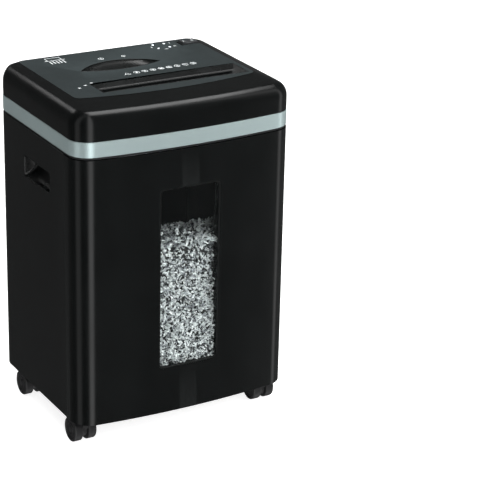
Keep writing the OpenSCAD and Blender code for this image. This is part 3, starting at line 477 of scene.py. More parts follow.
BIG_FACE, FLAT_ANGLE = 2000.0 * MM * MM, math.radians(8.0)


def keep_flats(mesh):
    """Marks the edges round each large flat face as sharp, so that its shading stays even."""
    bm = bmesh.new()
    bm.from_mesh(mesh)
    for edge in bm.edges:
        if len(edge.link_faces) == 2 and edge.calc_face_angle(0.0) > FLAT_ANGLE:
            if max(face.calc_area() for face in edge.link_faces) > BIG_FACE:
                edge.smooth = False
    bm.to_mesh(mesh)
    bm.free()


def finish_piece(obj, material, body, nodes=(), smooth=28.0):
    """Smooth shading up to an angle, the material, the body to ride on and the nodes replaced."""
    mesh = obj.data
    mesh.polygons.foreach_set("use_smooth", [True] * len(mesh.polygons))
    mesh.set_sharp_from_angle(angle=math.radians(smooth))
    keep_flats(mesh)
    mesh.materials.clear()
    mesh.materials.append(material)
    mod = obj.modifiers.new("weighted", "WEIGHTED_NORMAL")
    mod.mode = "FACE_AREA"
    mod.weight = 100
    mod.keep_sharp = True
    settle(obj)
    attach(obj, body)
    if nodes:
        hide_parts(*nodes)
    return obj


# ---- Head ----
def cover_rings(i):
    """Levels of the cover's form from its lower edge up, moved in by i."""
    rings = [level(outline(i, i), COVER_Z)]
    steps = 14
    for k in range(steps + 1):
        a = math.radians(76.0 * k / steps)
        side = i + ROLL_R * (1 - math.cos(a))
        rear = i + REAR_ROLL * (1 - math.cos(a))
        z = TOP_Z - SHOULDER_DROP - i - ROLL_R * (1 - math.sin(a))
        rings.append(level(outline(side, rear), z))
    return rings


def make_cover():
    """The top cover's shell, with the openings for its inserts, the rocker and the lenses."""
    c = COVER_INSET
    outer = cover_rings(c)
    outer[0] = level(outline(c + 0.8, c + 0.8), COVER_Z + 0.2)
    outer.insert(1, level(outline(c + 0.25, c + 0.25), COVER_Z + 0.45))
    outer.insert(2, level(outline(c, c), COVER_Z + 1.2))
    outer.append(level(crease(c - 1.6), TOP_Z - c - 0.75))
    outer.append(level(crease(c - 0.5), TOP_Z - c - 0.16))
    outer.append(level(crease(c + 0.8), TOP_Z - c))
    inner = cover_rings(c + WALL)
    inner[0] = level(outline(c + WALL, c + WALL), COVER_Z + 0.2)
    inner.append(level(crease(c + 2 * WALL), TOP_Z - c - WALL))
    n = len(outer[0])
    verts = [v for ring in outer + inner for v in ring]
    faces = []
    for first, count in ((0, len(outer)), (len(outer), len(inner))):
        for a in range(first, first + count - 1):
            faces += band_faces(a * n, (a + 1) * n, n)
        faces.append(tuple(range((first + count - 1) * n, (first + count) * n)))
    faces += band_faces(0, len(outer) * n, n)
    cover = mesh_object("top_cover_shell", verts, faces)
    over = TOP_Z + CUT_OVER
    entry = rect(THROAT_X0 - FUNNEL_LEFT - FLANGE - CUT_GAP,
                 THROAT_Y - FUNNEL_FRONT - FLANGE - CUT_GAP,
                 THROAT_X1 + FUNNEL_RIGHT + FLANGE + CUT_GAP,
                 THROAT_Y + FUNNEL_REAR + FLANGE + CUT_GAP)
    boolean(cover, prism_z("cut", entry, COVER_Z, over))
    boolean(cover, prism_z("cut", leaf(1.75), TOP_Z - CUT_DEEP, over))
    hx, hy = ROCKER_L / 2 + HOUSING_RIM + CUT_GAP, ROCKER_W / 2 + HOUSING_RIM + CUT_GAP
    housing = rect(ROCKER_X - hx, ROCKER_Y - hy, ROCKER_X + hx, ROCKER_Y + hy)
    boolean(cover, prism_z("cut", housing, TOP_Z - CUT_DEEP, over))
    # The four holes for the indicator lenses
    for x in (77.6, 97.6):
        for y in (107.0, 127.0):
            boolean(cover, prism_z("cut", arc(x, y, 2.25, 0, 350, 35), TOP_Z - 10, over))
    finish_piece(cover, SHELL, "cabinet", ["top_cover"], 30.0)
    # The flat field inside the crease has its own matt texture
    cover.data.materials.append(COVER)
    for face in cover.data.polygons:
        if face.normal.z > 0.999 and face.center.z > (TOP_Z - 1) * MM:
            face.material_index = 1
    return cover


LEAF_STEPS = 40


def leaf(g):
    """The outline of the disc recess, larger by g."""
    half = DISC_LEN / 2
    r1 = (half ** 2 + LEAF_REAR ** 2) / (2 * LEAF_REAR)
    r2 = (half ** 2 + LEAF_FRONT ** 2) / (2 * LEAF_FRONT)

    def rear(x):
        return LEAF_REAR - r1 + math.sqrt(max((r1 + g) ** 2 - x * x, 0.0))

    def front(x):
        return r2 - LEAF_FRONT - math.sqrt(max((r2 + g) ** 2 - x * x, 0.0))

    # The tip is where the two arcs meet
    lo, hi = half - 10.0, half + 12.0
    for _ in range(50):
        mid = (lo + hi) / 2
        if rear(mid) > front(mid):
            lo = mid
        else:
            hi = mid
    tip = lo
    xs = [tip * math.cos(math.pi * k / LEAF_STEPS) for k in range(LEAF_STEPS + 1)]
    points = [(DISC_X + x, DISC_Y + rear(x)) for x in xs]
    points += [(DISC_X + x, DISC_Y + front(x)) for x in xs[::-1][1:-1]]
    return points


def make_disc_guide():
    """A leaf-shaped dish with a raised rim, a step inside it and a slot at its lowest line."""
    top = TOP_Z
    slot_y = DISC_Y - 4.0
    rim = leaf(0.0)
    slot = []
    for k, (x, y) in enumerate(rim):
        sx = (x - DISC_X) * DISC_SLOT / DISC_LEN
        slot.append((DISC_X + sx, slot_y + (2.0 if k <= LEAF_STEPS else 0.0)))
    ledge = leaf(-1.6)
    section = ((1.5, 12.0), (1.5, 0.6), (1.25, 0.15), (0.9, 0.0), (0.4, 0.0), (0.1, 0.2),
               (0.0, 0.6), (0.0, 1.5), (-0.4, 1.8), (-1.6, 1.8))
    rings = [level(leaf(grow), top - down) for grow, down in section]
    steps = 9
    for k in range(1, steps + 1):
        t = k / steps
        fall = math.sin(t * math.pi / 2) ** 0.9
        rings.append([(lx + (sx - lx) * t, ly + (sy - ly) * t, top - 1.8 - 7.2 * fall)
                      for (lx, ly), (sx, sy) in zip(ledge, slot)])
    rings.append(level(slot, top - 12))
    obj = loft("disc_guide_dish", rings)
    return finish_piece(obj, INSERT, "cabinet", ["disc_guide"], 40.0)


def make_paper_guide():
    """The paper entry: a funnel with a long rear slope, run down to the throat."""
    y0, y1 = THROAT_Y - FUNNEL_FRONT, THROAT_Y + FUNNEL_REAR
    x0, x1 = THROAT_X0 - FUNNEL_LEFT, THROAT_X1 + FUNNEL_RIGHT
    gap_y = THROAT_Y - THROAT_GAP
    low = COVER_Z + 1.0
    flange = TOP_Z - 4.0
    body = prism_x("paper_guide_insert", [
        (y0 - FLANGE, TOP_Z), (y0 - FLANGE, flange), (gap_y - 3, TOP_Z - 23), (gap_y - 3, low),
        (THROAT_Y + 3, low), (THROAT_Y + 3, flange - 5), (y1 + FLANGE, flange),
        (y1 + FLANGE, TOP_Z)],
        x0 - FLANGE, x1 + FLANGE)
    funnel = prism_x("funnel", [
        (y0, TOP_Z + 1), (y0, TOP_Z), (y0 + 6, TOP_Z - 3.2), (gap_y - 3.5, TOP_Z - 14),
        (gap_y, TOP_Z - 19), (gap_y, low - 1), (THROAT_Y, low - 1), (THROAT_Y, TOP_Z - 6.5),
        (THROAT_Y + 2.0, TOP_Z - 4.6), (y1, TOP_Z), (y1, TOP_Z + 1)],
        x0, x1)
    ends = prism_y("ends", [
        (x0, TOP_Z + 2), (x0, TOP_Z), (THROAT_X0, TOP_Z - 10), (THROAT_X0, low - 2),
        (THROAT_X1, low - 2), (THROAT_X1, TOP_Z - 10), (x1, TOP_Z), (x1, TOP_Z + 2)],
        y0 - 1, y1 + 1)
    boolean(funnel, ends, "INTERSECT")
    boolean(body, funnel)
    rounded(body, 0.55, 22.0, 3)
    return finish_piece(body, INSERT, "cabinet", ["paper_guide"], 34.0)


def make_band():
    """The silver band, with soft upper and lower edges."""
    z0, z1 = BAND_Z, COVER_Z
    levels = [(WALL, z0), (1.3, z0), (0.45, z0 + 0.35), (0.1, z0 + 0.9), (0.0, z0 + 1.6),
              (0.0, z1 - 1.7), (0.12, z1 - 0.9), (0.5, z1 - 0.3), (1.2, z1), (WALL, z1)]
    obj = loft("trim_band_ring", [level(outline(i, i), z) for i, z in levels])
    return finish_piece(obj, SILVER, "cabinet", ["trim_band"], 40.0)


def make_rocker():
    """The power rocker with two dished faces, and its two marks: a bar and a ring."""
    half, high = ROCKER_L / 2, TOP_Z + 3.5
    top = []
    for k in range(25):
        x = half - 1.0 - (2 * half - 2.0) * k / 24
        top.append((ROCKER_X + x, high - 1.8 * (1 - abs(x / (half - 1.0)) ** 1.3)))
    side = [(ROCKER_X - half, PIVOT_Z - 5), (ROCKER_X + half, PIVOT_Z - 5)] + top
    obj = prism_y("power_rocker_cap", side, ROCKER_Y - ROCKER_W / 2, ROCKER_Y + ROCKER_W / 2)
    rounded(obj, 0.7, 35.0, 3)
    obj = finish_piece(obj, ROCKER, "rocker", ["power_rocker"], 30.0)
    z = high - 0.72
    mark = rect(ROCKER_X - 8.4, ROCKER_Y - 2.5, ROCKER_X - 7.6, ROCKER_Y + 2.5)
    finish_piece(prism_z("rocker_mark_on", mark, z - 0.8, z + 0.1), INK, "rocker")
    section = ((2.5, z - 0.8), (2.5, z + 0.1), (1.8, z + 0.1), (1.8, z - 0.8))
    ring = loft("rocker_mark_off", [level(arc(ROCKER_X + 8, ROCKER_Y, r, 0, 350, 35), h)
                                    for r, h in section])
    finish_piece(ring, INK, "rocker")


def plate(points, z0, z1):
    """Vertices and faces of a thin flat mark."""
    n = len(points)
    verts = [(x, y, z0) for x, y in points] + [(x, y, z1) for x, y in points]
    faces = [tuple(range(n))[::-1], tuple(range(n, 2 * n))]
    return verts, faces + band_faces(0, n, n)


def bar(x, y, w, h, turn, z):
    """A thin flat bar, turned about its middle."""
    a = math.radians(turn)
    c, s = math.cos(a), math.sin(a)
    corners = [(x + c * u - s * v, y + s * u + c * v)
               for u, v in rect(-w / 2, -h / 2, w / 2, h / 2)]
    return plate(corners, z - 0.05, z + 0.1)


def hoop(x, y, r, line, z, sides=36, turn=0.0):
    """A thin ring, or a polygon's outline."""
    end = turn + 360.0 * (sides - 1) / sides
    outer, inner = arc(x, y, r, turn, end, sides - 1), arc(x, y, r - line, turn, end, sides - 1)
    levels = ((outer, z - 0.05), (outer, z + 0.1), (inner, z + 0.1), (inner, z - 0.05))
    verts = [(a, b, h) for points, h in levels for a, b in points]
    faces = []
    for k in range(4):
        faces += band_faces(k * sides, (k + 1) % 4 * sides, sides)
    return verts, faces


def make_print():
    """Generic pictograms: a triangle, rings with glyphs, and a sheet cut into strips."""
    z = TOP_Z - COVER_INSET
    parts = []
    glyphs = ("sheet", "dot", "lines", "card", "disc", "clip", "slash", "grid")
    parts.append(hoop(-29, 5.5, 6.2, 1.3, z, 3, 90.0))
    for k, kind in enumerate(glyphs):
        x, y = -12.5 + 14.4 * k, 7.2 + 0.7 * k
        parts.append(hoop(x, y, 5.0, 0.75, z))
        if kind == "sheet":
            parts.append(bar(x, y, 3.2, 4.6, 0, z))
        elif kind == "dot":
            parts.append(hoop(x, y, 1.8, 1.5, z, 24))
        elif kind == "lines":
            parts += [bar(x, y + d, 5.0, 0.8, 0, z) for d in (-1.6, 0, 1.6)]
        elif kind == "card":
            parts += [bar(x, y, 5.4, 3.2, 0, z)]
        elif kind == "disc":
            parts += [hoop(x, y, 3.0, 0.7, z, 28), hoop(x, y, 1.0, 0.7, z, 16)]
        elif kind == "clip":
            parts += [bar(x - 1.1, y, 0.8, 5.0, 0, z), bar(x + 1.1, y, 0.8, 5.0, 0, z)]
        elif kind == "slash":
            parts += [bar(x, y, 0.8, 8.4, 40, z), bar(x, y, 2.4, 2.4, 0, z)]
        else:
            parts += [bar(x + d, y, 0.8, 5.0, 0, z) for d in (-1.8, 0, 1.8)]
    for k in range(3):
        x, y = -125 + 13.5 * k, -27 + 7.5 * k
        parts.append(hoop(x, y, 2.9, 0.7, z, 4, 45.0))
        parts.append(bar(x, y, 1.6, 1.6, 0, z))
    # Behind the disc entry
    parts += [hoop(-30, 95, 4.6, 0.8, z), bar(-30, 95, 0.9, 5.0, 0, z),
              hoop(8, 93, 3.4, 0.8, z), hoop(8, 93, 1.2, 0.8, z, 16)]
    # Round the indicator lenses
    parts += [bar(80, 136, 5, 1.0, 0, z), bar(70.5, 117, 1.0, 5, 0, z), bar(88, 99.5, 6, 1.0, 0, z),
              bar(107.5, 127, 1.0, 4, 0, z), hoop(107.5, 108, 2.2, 0.6, z, 24)]
    # A sheet going down into strips
    parts += [bar(-98, 118, 34, 1.2, 0, z), bar(-98, 131, 24, 1.0, 0, z),
              bar(-110, 125, 1.0, 13, 0, z), bar(-86, 125, 1.0, 13, 0, z)]
    parts += [bar(-109 + 5.5 * k, 107 + (k % 2), 1.5, 13, 0, z) for k in range(5)]
    obj = joined("cover_print", parts)
    return finish_piece(obj, INK, "cabinet")


# ---- Cabinet panels ----
def wall_strip(points_out, points_in, z0, z1, name):
    """A wall between two matching plan curves, from z0 to z1."""
    return prism_z(name, points_out + points_in[::-1], z0, z1)


def side_curve(s, inset):
    x = BODY_W / 2 - inset
    ry = BODY_D / 2 - REAR_R
    curve = [(x, SEAM_Y + (ry - SEAM_Y) * k / 6) for k in range(6)]
    curve += arc(REAR_X, ry, REAR_R - inset, 0, 90, 20) + [(REAR_SPLIT, BODY_D / 2 - inset)]
    return [(s * px, py) for px, py in curve]


def make_side_panel(s, word):
    obj = wall_strip(side_curve(s, 0), side_curve(s, WALL), UNDER_Z, CABINET_TOP,
                     "side_panel_shell_" + word)
    hole = [(HANDLE_Y + a, HANDLE_Z + b) for a, b in round_rect(HANDLE_L, HANDLE_H, 5.0, 10)]
    boolean(obj, prism_x("hole", hole, s * (BODY_W / 2 + 5), s * (BODY_W / 2 - 8)))
    rounded(obj, 0.7)
    return finish_piece(obj, SHELL, "cabinet", ["side_panel_" + word], 30.0)


def front_curve(inset):
    x = BODY_W / 2 - inset
    end = SEAM_Y - 0.8
    steps = 3
    side = [(x, end + (CORNER_Y - end) * k / steps) for k in range(steps)]
    corner = arc(CORNER_X, CORNER_Y, FRONT_R - inset, 0, CORNER_A, 24)
    half = side + corner
    bow = arc(0, BOW_Y, BOW_R - inset, 360 + CORNER_A - 0.15, 180 - CORNER_A + 0.15, 72)
    return half + bow + [(-px, py) for px, py in half[::-1]]


def make_bin_front():
    obj = wall_strip(front_curve(0), front_curve(WALL), UNDER_Z, CABINET_TOP - 1, "bin_front_shell")
    mid = WINDOW_Z + WINDOW_H / 2
    hole = [(a, mid + b) for a, b in round_rect(WINDOW_W, WINDOW_H, WINDOW_R, 10)]
    boolean(obj, prism_y("hole", hole, -BODY_D, -BODY_D / 2 + 30))
    rounded(obj, 0.7)
    return finish_piece(obj, SHELL, "bin", ["bin_front"], 30.0)


def make_bezel():
    """The window's frame: a rounded bead, a groove and a chamfer down to the pane."""
    mid = WINDOW_Z + WINDOW_H / 2
    section = [(0.12, 3.0), (0.12, 0.9), (0.35, 0.55), (0.8, 0.5), (1.2, 0.62), (1.35, 1.1),
               (1.6, 1.15), (1.8, 0.75), (2.2, 0.7), (2.6, 1.0), (3.0, 1.9), (3.0, 3.0)]
    rings = []
    for inward, deep in section:
        flat = round_rect(WINDOW_W - 2 * inward, WINDOW_H - 2 * inward, WINDOW_R - inward, 8)
        dense = []
        for k, (a, b) in enumerate(flat):
            c, d = flat[(k + 1) % len(flat)]
            far = math.hypot(c - a, d - b)
            parts = 12 if far > 50 else 1
            dense += [(a + (c - a) * j / parts, b + (d - b) * j / parts) for j in range(parts)]
        rings.append([(a, front_y(a, deep), mid + b) for a, b in dense])
    obj = loft("window_bezel_frame", rings)
    return finish_piece(obj, INSERT, "bin", ["window_bezel"], 34.0)


def make_pane():
    half, z0, z1 = WINDOW_W / 2 + 6, WINDOW_Z - 6, WINDOW_Z + WINDOW_H + 6
    xs = [-half + 2 * half * k / 40 for k in range(41)]
    plan = [(x, front_y(x, WALL)) for x in xs] + [(x, front_y(x, WALL + 2.0)) for x in xs[::-1]]
    obj = prism_z("window_pane_sheet", plan, z0, z1)
    return finish_piece(obj, CLEAR, "bin", ["window_pane"], 30.0)


def make_grip(s, word):
    """A grip pocket: a rolled lip, then a scoop whose floor climbs inwards."""

    def ring(w, h, r, deep, lift=0.0):
        x = s * (BODY_W / 2 - deep)
        return [(x, HANDLE_Y + a, HANDLE_Z + lift + b) for a, b in round_rect(w, h, r, 10)]

    w, h = HANDLE_L - 0.5, HANDLE_H - 0.5
    rings = [ring(w, h, 4.7, HANDLE_DEPTH), ring(w, h, 4.7, 1.2), ring(w - 0.5, h - 0.5, 4.6, 0.6),
             ring(w - 1.2, h - 1.2, 4.4, 0.45), ring(w - 2.2, h - 2.2, 4.0, 0.6),
             ring(w - 2.9, h - 2.9, 3.8, 1.3), ring(w - 3.6, h - 3.6, 3.8, 4.0),
             ring(w - 5.0, h - 6.0, 4.0, 9.0, 0.8), ring(w - 8.0, h - 12.0, 4.0, 15.0, 3.0),
             ring(w - 13.0, h - 18.0, 4.0, 19.5, 4.8), ring(w - 20.0, h - 23.0, 3.0, 21.6, 5.4)]
    obj = loft("carry_handle_cup_" + word, rings, True)
    return finish_piece(obj, INSERT, "cabinet", ["carry_handle_" + word], 34.0)


# ---- Casters ----
def make_wheels(word, x, y):
    """Twin wheels: a soft tread, then an outer face with a groove, a ridge and a hub."""
    tread = [(18.4, 0.0), (19.2, 0.25), (19.8, 0.8), (WHEEL_R, 1.6), (WHEEL_R, 11.6),
             (19.85, 12.6), (19.3, 13.4), (18.5, 13.9), (17.8, WHEEL_W)]
    face = [(16.6, WHEEL_W), (16.2, 13.4), (15.9, 12.6), (15.2, 12.4), (14.6, 12.9), (13.9, 13.1),
            (13.2, 12.9), (12.7, 12.2), (11.4, 11.9), (10.2, 12.3), (9.4, 12.9), (8.7, 12.9),
            (8.2, 12.3), (6.4, 12.1), (6.0, 12.9), (5.2, 13.5), (3.6, 13.8)]
    profile = [(WHEEL_BORE, 0.0)] + tread + face + [(WHEEL_BORE, 13.9)]
    parts = [revolve_x(profile, x + s * YOKE_HALF, y, WHEEL_R, s) for s in (-1, 1)]
    obj = joined("caster_wheels_disc_" + word, parts)
    return finish_piece(obj, WHEEL, "wheels_" + word,
                        ["caster_wheels_" + word], 34.0)


def polish(node, name, material, body, width):
    """The CAD node's own shape, with its edges rounded and its curves shaded smooth."""
    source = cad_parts[node]
    mesh = source.data.copy()
    mesh.name = name
    bm = bmesh.new()
    bm.from_mesh(mesh)
    bmesh.ops.remove_doubles(bm, verts=bm.verts, dist=0.004 * MM)
    bmesh.ops.dissolve_limit(bm, angle_limit=math.radians(0.4), verts=bm.verts, edges=bm.edges)
    bmesh.ops.recalc_face_normals(bm, faces=bm.faces)
    bm.to_mesh(mesh)
    bm.free()
    if "custom_normal" in mesh.attributes:
        mesh.attributes.remove(mesh.attributes["custom_normal"])
    obj = bpy.data.objects.new(name, mesh)
    bpy.context.scene.collection.objects.link(obj)
    rounded(obj, width, 35.0, 2)
    return finish_piece(obj, material, body, [node], 30.0)


# ---- Shredded paper ----
def strip_parts(rng, centre, facing, length, width, curl, limits):
    """One curled strip of paper, kept inside the bin."""
    normal = facing.normalized()
    along = normal.orthogonal().normalized()
    along.rotate(Matrix.Rotation(rng.uniform(0, 2 * math.pi), 3, normal))
    across = normal.cross(along)
    twist = rng.uniform(-0.7, 0.7)
    verts, faces, cuts = [], [], 5
    for k in range(cuts + 1):
        t = k / cuts - 0.5
        spin = Matrix.Rotation(twist * t * 2, 3, along)
        side = spin @ across
        point = (centre + along * (t * length * (1 - 0.25 * abs(curl)))
                 + normal * (curl * length * (0.25 - t * t)))
        for e in (-0.5, 0.5):
            verts.append(limits(point + side * (e * width)))
    for k in range(cuts):
        faces.append((2 * k, 2 * k + 1, 2 * k + 3, 2 * k + 2))
    return verts, faces


def heap_top(x, y):
    """Height of the heap's surface: level near the window, then falling to the rear."""
    back = max(y - front_y(x, 0) - 80.0, 0.0)
    crown = 7.0 * math.cos(x / PAPER_X * math.pi / 2)
    return 307.0 + crown - 0.55 * back + 7.0 * noise.noise(Vector((x * 0.035, y * 0.030, 3.1)))


def set_back(z):
    """How far behind the pane the heap's face lies at a height: it leans back as it rises."""
    return 3.0 + 10.0 * min(max((z - WINDOW_Z) / 200.0, 0.0), 1.0)


COLLAR_DEPTH, COLLAR_WALL = 20.0, 1.6


def make_collar():
    """The dark collar behind the pane, which the paper stands back in."""
    mid = WINDOW_Z + WINDOW_H / 2
    rings = []
    near = WALL + 2.3
    for grow, deep in ((0.0, near), (0.0, COLLAR_DEPTH),
                       (COLLAR_WALL, COLLAR_DEPTH), (COLLAR_WALL, near)):
        flat = round_rect(WINDOW_W + 2 * grow, WINDOW_H + 2 * grow, WINDOW_R + grow, 8)
        rings.append([(a, front_y(a, deep), mid + b) for a, b in flat])
    obj = loft("window_collar", rings)
    return finish_piece(obj, INSERT, "bin", (), 34.0)


def make_heap():
    """The shredded paper: a core that fills the bin, coloured near black as painted shade for the
    gaps between strips, and strips over its face and top.
    """
    rng = random.Random(41)
    near_x = WINDOW_W / 2 - 0.8

    def inside(p):
        x = min(max(p.x, -PAPER_X), PAPER_X)
        y = min(max(p.y, front_y(x, WALL + 2.5)), PAPER_REAR)
        if y < front_y(x, COLLAR_DEPTH + 0.5):
            x = min(max(x, -near_x), near_x)
            return (x, y, min(max(p.z, WINDOW_Z + 1.0), PAPER_TOP))
        return (x, y, min(max(p.z, TUB_FLOOR + 0.3), PAPER_TOP))

    nx, ny, skin = 44, 40, 5.0
    verts, faces = [], []
    for j in range(ny + 1):
        for i in range(nx + 1):
            x = -PAPER_X + skin + (2 * PAPER_X - 2 * skin) * i / nx
            near = front_y(x, COLLAR_DEPTH + 1.0)
            y = near + (PAPER_REAR - skin - near) * j / ny
            verts.append((x, y, heap_top(x, y) - 3.0))
    for j in range(ny):
        for i in range(nx):
            a = j * (nx + 1) + i
            faces.append((a, a + 1, a + nx + 2, a + nx + 1))
    edge = (list(range(nx)) + [j * (nx + 1) + nx for j in range(ny)]
            + [ny * (nx + 1) + nx - i for i in range(nx)]
            + [(ny - j) * (nx + 1) for j in range(ny)])
    base = len(verts)
    for e in edge:
        verts.append((verts[e][0], verts[e][1], TUB_FLOOR + 0.2))
    for k, e in enumerate(edge):
        j = (k + 1) % len(edge)
        faces.append((e, edge[j], base + j, base + k))
    faces.append(tuple(range(base, base + len(edge))))
    core = mesh_object("paper_heap_core", verts, faces)
    # The core takes the near-black paper: painted shade between the strips
    finish_piece(core, PAPER_PAINTED_SHADE, "bin", ["paper_shreds"], 60.0)

    parts = []
    for _ in range(5200):
        x, z = rng.uniform(-51, 51), rng.uniform(WINDOW_Z, 352)
        deep = WALL + 2.5 + set_back(z) + rng.uniform(0.4, 6.5)
        if z > heap_top(x, front_y(x, deep)) + rng.uniform(-3, 6):
            continue
        facing = Vector((rng.gauss(0, 0.75), -1.0, rng.gauss(0.1, 0.75)))
        centre = Vector((x, front_y(x, deep), z))
        parts.append(strip_parts(rng, centre, facing, rng.uniform(3, 9), rng.uniform(1.6, 3.2),
                                 rng.uniform(-0.9, 0.9), inside))
    for _ in range(7400):
        x, y = rng.uniform(-136, 136), rng.uniform(-140, 114)
        if y < front_y(x, COLLAR_DEPTH + 4.0) and abs(x) > near_x:
            continue
        facing = Vector((rng.gauss(0, 0.7), rng.gauss(0, 0.7), 1.0))
        centre = Vector((x, y, heap_top(x, y) + rng.uniform(-4.0, 3.5)))
        parts.append(strip_parts(rng, centre, facing, rng.uniform(5, 16), rng.uniform(2.2, 4.0),
                                 rng.uniform(-0.7, 0.7), inside))
    heap = joined("paper_strips", parts)
    heap.data.polygons.foreach_set("use_smooth", [True] * len(heap.data.polygons))
    heap.data.materials.append(PAPER)
    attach(heap, "bin")
    return heap


make_cover()
make_disc_guide()
make_paper_guide()
make_band()
make_rocker()
make_print()
make_side_panel(-1, "left")
make_side_panel(1, "right")
make_grip(-1, "left")
make_grip(1, "right")
make_bin_front()
make_bezel()
make_pane()
make_collar()
make_heap()
for word, x, y in (("front_left", -CASTER_X, -AXLE_Y), ("front_right", CASTER_X, -AXLE_Y),
                   ("rear_left", -CASTER_X, AXLE_Y), ("rear_right", CASTER_X, AXLE_Y)):
    make_wheels(word, x, y)
    polish("caster_yoke_" + word, "caster_yoke_hood_" + word, WHEEL,
           "caster_" + word, 0.5)
polish("rear_panel", "rear_panel_shell", SHELL, "cabinet", 0.6)
polish("base_plate", "base_plate_tray", INNER, "cabinet", 0.6)
polish("rocker_housing", "rocker_housing_box", INSERT, "cabinet", 0.3)
polish("bin_tub", "bin_tub_liner", INNER, "bin", 0.6)
polish("cord_gland", "cord_gland_bush", INNER, "cabinet", 0.5)

# The CAD nodes that stay get the material that their own material's name stands for
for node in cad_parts.values():
    if node.hide_render:
        continue
    made = None
    if node.material_slots and node.material_slots[0].material:
        made = SLOT_MATERIALS.get(node.material_slots[0].material.name.split(".")[0])
    for slot in node.material_slots:
        slot.link = "OBJECT"
        slot.material = made or INNER


# ---- Stage ----
FLOOR_HALF, BACKDROP_R, BACKDROP_H, BACKDROP_STEPS = 14.0, 13.0, 14.0, 48  # metres, and a count


def stage_piece(name, verts, faces, material):
    mesh = bpy.data.meshes.new(name)
    mesh.from_pydata(verts, [], faces)
    mesh.materials.append(material)
    obj = bpy.data.objects.new(name, mesh)
    bpy.context.scene.collection.objects.link(obj)
    return obj


floor_material, floor_nt, floor_bsdf = new_material("floor_pale")
mottle = ramp_of(floor_nt, noise_of(floor_nt, 1.5, 2.0),
                 [(0.3, (0.50, 0.50, 0.50)), (0.7, (0.54, 0.54, 0.54))])
floor_nt.links.new(mottle, floor_bsdf.inputs["Base Color"])
floor_bsdf.inputs["Roughness"].default_value = 0.9
floor_bsdf.inputs["Specular IOR Level"].default_value = 0.1
floor_bsdf.inputs["Emission Color"].default_value = (1, 1, 1, 1)
floor_bsdf.inputs["Emission Strength"].default_value = 0.85
corners = rect(-FLOOR_HALF, -FLOOR_HALF, FLOOR_HALF, FLOOR_HALF)
floor = stage_piece("floor", level(corners, 0), [(0, 1, 2, 3)], floor_material)
floor.visible_glossy = False

backdrop_material, _, backdrop_bsdf = new_material("backdrop_pale")
backdrop_bsdf.inputs["Base Color"].default_value = (0, 0, 0, 1)
backdrop_bsdf.inputs["Emission Color"].default_value = (1, 1, 1, 1)
backdrop_bsdf.inputs["Emission Strength"].default_value = 1.0
turns = [2 * math.pi * k / BACKDROP_STEPS for k in range(BACKDROP_STEPS)]
circle = [(BACKDROP_R * math.cos(t), BACKDROP_R * math.sin(t)) for t in turns]
backdrop = stage_piece("backdrop", level(circle, 0) + level(circle, BACKDROP_H),
                       band_faces(0, BACKDROP_STEPS, BACKDROP_STEPS), backdrop_material)
for kind in ("diffuse", "glossy", "shadow", "transmission"):
    setattr(backdrop, "visible_" + kind, False)

# The studio that the gloss reflects: an even dim surround, a slightly paler front right, and
# tall strips at three compass directions
world = bpy.data.worlds.new("studio")
bpy.context.scene.world = world
world.use_nodes = True
world.cycles.sampling_method = "NONE"
wnt = world.node_tree
back = wnt.nodes["Background"]
back.inputs["Strength"].default_value = 1.0
ray = add(wnt, "ShaderNodeTexCoord").outputs["Generated"]
flat_ray = add(wnt, "ShaderNodeVectorMath", operation="MULTIPLY")
flat_ray.inputs[1].default_value = (1, 1, 0)
wnt.links.new(ray, flat_ray.inputs[0])
level_ray = add(wnt, "ShaderNodeVectorMath", operation="NORMALIZE")
wnt.links.new(flat_ray.outputs["Vector"], level_ray.inputs[0])


def card(turn, half, soft, bright):
    """Brightness over some compass directions; turn is degrees from the front to the right."""
    a = math.radians(turn)
    dot = add(wnt, "ShaderNodeVectorMath", operation="DOT_PRODUCT")
    wnt.links.new(level_ray.outputs["Vector"], dot.inputs[0])
    dot.inputs[1].default_value = (math.sin(a), -math.cos(a), 0)
    node = add(wnt, "ShaderNodeMapRange", interpolation_type="SMOOTHSTEP")
    node.inputs["From Min"].default_value = math.cos(math.radians(half + soft))
    node.inputs["From Max"].default_value = math.cos(math.radians(half))
    node.inputs["To Min"].default_value = 0.0
    node.inputs["To Max"].default_value = bright
    wnt.links.new(dot.outputs["Value"], node.inputs["Value"])
    return node.outputs["Result"]


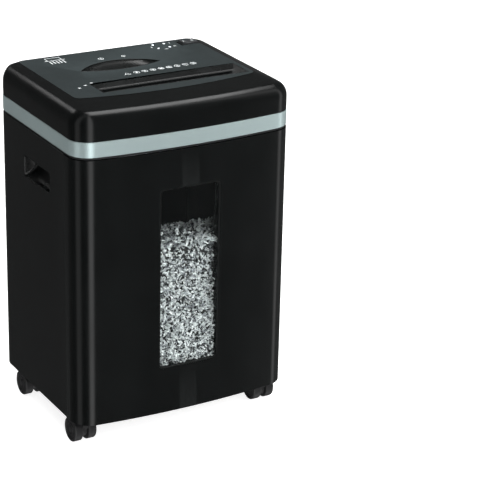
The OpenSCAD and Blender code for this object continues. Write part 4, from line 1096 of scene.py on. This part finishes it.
SURROUND = 0.115
CARDS = ((40.0, 45.0, 30.0, 0.15), (-14.0, 4.0, 12.0, 3.6),
         (-80.0, 5.0, 12.0, 1.0), (62.0, 3.0, 9.0, 2.0))
total = None
for turn, half, soft, bright in CARDS:
    both = add(wnt, "ShaderNodeMath", operation="ADD")
    both.inputs[0].default_value = SURROUND
    if total is not None:
        wnt.links.new(total, both.inputs[0])
    wnt.links.new(card(turn, half, soft, bright), both.inputs[1])
    total = both.outputs["Value"]
wnt.links.new(total, back.inputs["Color"])


def area_light(name, place, target, size, power, gloss=True):
    data = bpy.data.lights.new(name, "AREA")
    data.shape = "RECTANGLE"
    data.size, data.size_y = size
    data.energy = power
    obj = bpy.data.objects.new(name, data)
    bpy.context.scene.collection.objects.link(obj)
    obj.location = place
    obj.rotation_euler = (Vector(target) - Vector(place)).to_track_quat("-Z", "Y").to_euler()
    obj.visible_camera = False
    obj.visible_glossy = gloss
    return obj


area_light("overhead", (0.75, 0.2, 2.6), (0.75, 0.2, 0.0), (1.5, 1.2), 44)
area_light("fill_top", (0.0, 0.3, 3.6), (0.0, 0.3, 0.0), (4.5, 4.5), 120, False)
area_light("key", (1.5, -2.3, 1.8), (0, 0, 0.3), (1.2, 1.2), 62, False)
area_light("back_strip", (-0.45, 2.1, 1.9), (0, 0, 0.5), (0.9, 0.25), 2.5)

# ---- Camera, at the photograph's viewing angle ----
CAMERA_AT = (-1.3206, -2.5460, 1.4236)
azimuth, elevation, roll = math.radians(-30.40), math.radians(21.875), math.radians(1.363)
back_dir = Vector((math.sin(azimuth) * math.cos(elevation),
                   -math.cos(azimuth) * math.cos(elevation), math.sin(elevation)))
right_dir = Vector((0, 0, 1)).cross(back_dir).normalized()
up_dir = back_dir.cross(right_dir)
right_turned = right_dir * math.cos(roll) + up_dir * math.sin(roll)
up_turned = up_dir * math.cos(roll) - right_dir * math.sin(roll)
cam_data = bpy.data.cameras.new("camera")
cam = bpy.data.objects.new("camera", cam_data)
bpy.context.scene.collection.objects.link(cam)
turned = Matrix((right_turned, up_turned, back_dir)).transposed().to_4x4()
cam.matrix_world = Matrix.Translation(CAMERA_AT) @ turned
cam_data.lens = 146.85
cam_data.sensor_width = 36.0
cam_data.clip_start = 0.05
cam_data.clip_end = 50.0
bpy.context.scene.camera = cam
bpy.context.scene.view_settings.view_transform = "Standard"
